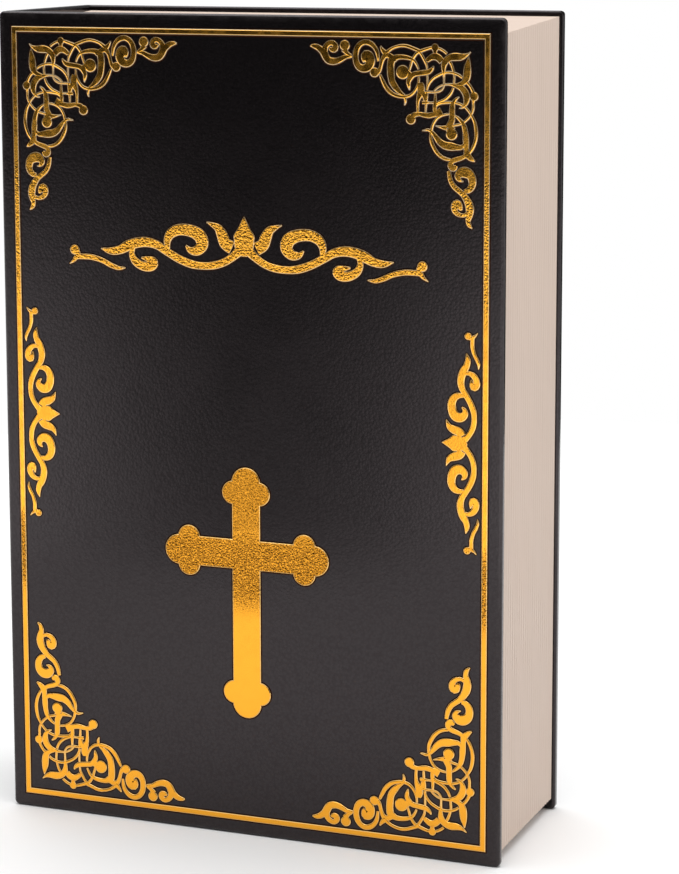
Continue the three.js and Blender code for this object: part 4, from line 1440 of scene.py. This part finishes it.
@dataclass
class Floor:
    """A wide pale disc just under the tail edges."""

    radius: float = 0.5
    back: float = 0.14
    drop: float = 0.0001
    segments: int = 128
    colour: Colour = (0.97, 0.97, 0.97)
    roughness: float = 0.9
    specular: float = 0.1

    def build(self) -> None:
        """Makes the disc and its pale paper."""
        shape = bmesh.new()
        bmesh.ops.create_circle(shape, cap_ends=True, radius=self.radius, segments=self.segments)
        bmesh.ops.translate(shape, verts=shape.verts, vec=(0.0, self.back, -self.drop))
        floor = new_piece("floor", mesh_from("floor", shape))
        paper = bpy.data.materials.new("floor_paper")
        paper.use_nodes = True
        shader = paper.node_tree.nodes["Principled BSDF"]
        shader.inputs["Base Color"].default_value = (*self.colour, 1.0)
        shader.inputs["Roughness"].default_value = self.roughness
        shader.inputs["Specular IOR Level"].default_value = self.specular
        floor.data.materials.append(paper)


@dataclass
class Surround:
    """White behind the book and to its sides, dimmer behind the camera but for one lit gap and its panel.

    The heights and the ways back are parts of a direction of length 1, and the gap's turns are in degrees.
    """

    bright: float = 0.85
    rear: float = 0.02
    rear_back: Span = (0.8, 0.93)
    dim: float = 0.03
    front_tilt: float = 0.5
    front_edge: Span = (-0.55, 0.25)
    ceiling: float = 0.8
    ceiling_up: Span = (0.35, 0.6)
    panel: float = 2.0
    panel_up: Span = (-0.165, -0.08)
    gap_glow: float = 0.47
    gap_up: Span = (-0.28, -0.14)
    gap_turn: float = 23.0
    gap_core: float = 1.2
    gap_half: float = 6.6

    def build(self) -> None:
        """Makes the world, plain white wherever the camera sees it directly."""
        world = bpy.data.worlds.new("surround")
        bpy.context.scene.world = world
        world.use_nodes = True
        world.node_tree.nodes.clear()
        graph = Graph(world.node_tree)
        x, y, z = graph.split(graph.add("ShaderNodeTexCoord").outputs["Generated"])
        ceiling = graph.spread(z, *self.ceiling_up, 0.0, self.ceiling)
        front = graph.calc("ADD", self._low_front(graph, x, y, z), ceiling)
        behind = graph.spread(y, *self.rear_back, self.bright, self.rear)
        share = graph.spread(graph.calc("MULTIPLY_ADD", z, self.front_tilt, y), *self.front_edge)
        glow = graph.between(share, front, behind)
        seen = graph.add("ShaderNodeLightPath").outputs["Is Camera Ray"]
        feeds = {"Color": graph.tint(seen, glow, (1.0, 1.0, 1.0)), "Strength": 1.0}
        back = graph.add("ShaderNodeBackground", feeds)
        graph.add("ShaderNodeOutputWorld", {"Surface": back.outputs[0]})

    def _low_front(self, graph: Graph, x: Socket, y: Socket, z: Socket) -> Socket:
        """Lights the low part behind the camera: the gap, and the panel to both sides of it.

        Args:
            graph: The world's nodes.
            x: The direction's part to the right.
            y: The direction's part away from the camera.
            z: The direction's part upwards.

        Returns:
            The brightness.
        """
        turn = graph.calc("ARCTAN2", graph.calc("MULTIPLY", x, -1.0), graph.calc("MULTIPLY", y, -1.0))
        off_gap = graph.calc("ABSOLUTE", graph.calc("SUBTRACT", turn, math.radians(self.gap_turn)))
        beside = graph.spread(off_gap, math.radians(self.gap_core), math.radians(self.gap_half))
        in_gap = graph.spread(z, *self.gap_up, self.gap_glow, self.dim)
        on_panel = graph.spread(z, *self.panel_up, self.panel, self.dim)
        return graph.between(beside, in_gap, on_panel)


@dataclass
class Studio:
    """Camera, floor, surround and light."""

    camera: Camera = field(default_factory=Camera)
    floor: Floor = field(default_factory=Floor)
    surround: Surround = field(default_factory=Surround)
    overhead: SoftBox = SoftBox("overhead_box", place=(0.0, 0.0, 2.2), target=(0.0, 0.0, 0.0),
                                width=2.4, depth=2.4, watts=36.0)

    def build(self) -> None:
        """Sets up the shot."""
        self.camera.build()
        self.floor.build()
        self.surround.build()
        self.overhead.hang()
        settings = bpy.context.scene.view_settings
        settings.view_transform = "Standard"
        settings.look = "None"
        LOG.info("studio: camera, floor, surround and %s", self.overhead.name)


def main() -> None:
    """Builds the scene round the frame."""
    logging.basicConfig(level=logging.INFO, format="%(name)s: %(message)s")
    Studio().build()
    wardrobe = Wardrobe()
    wardrobe.make()
    wardrobe.dress_frame()
    CoverFoil(wardrobe).build()
    ClothJoint(wardrobe).build()


if __name__ == "__main__":
    main()
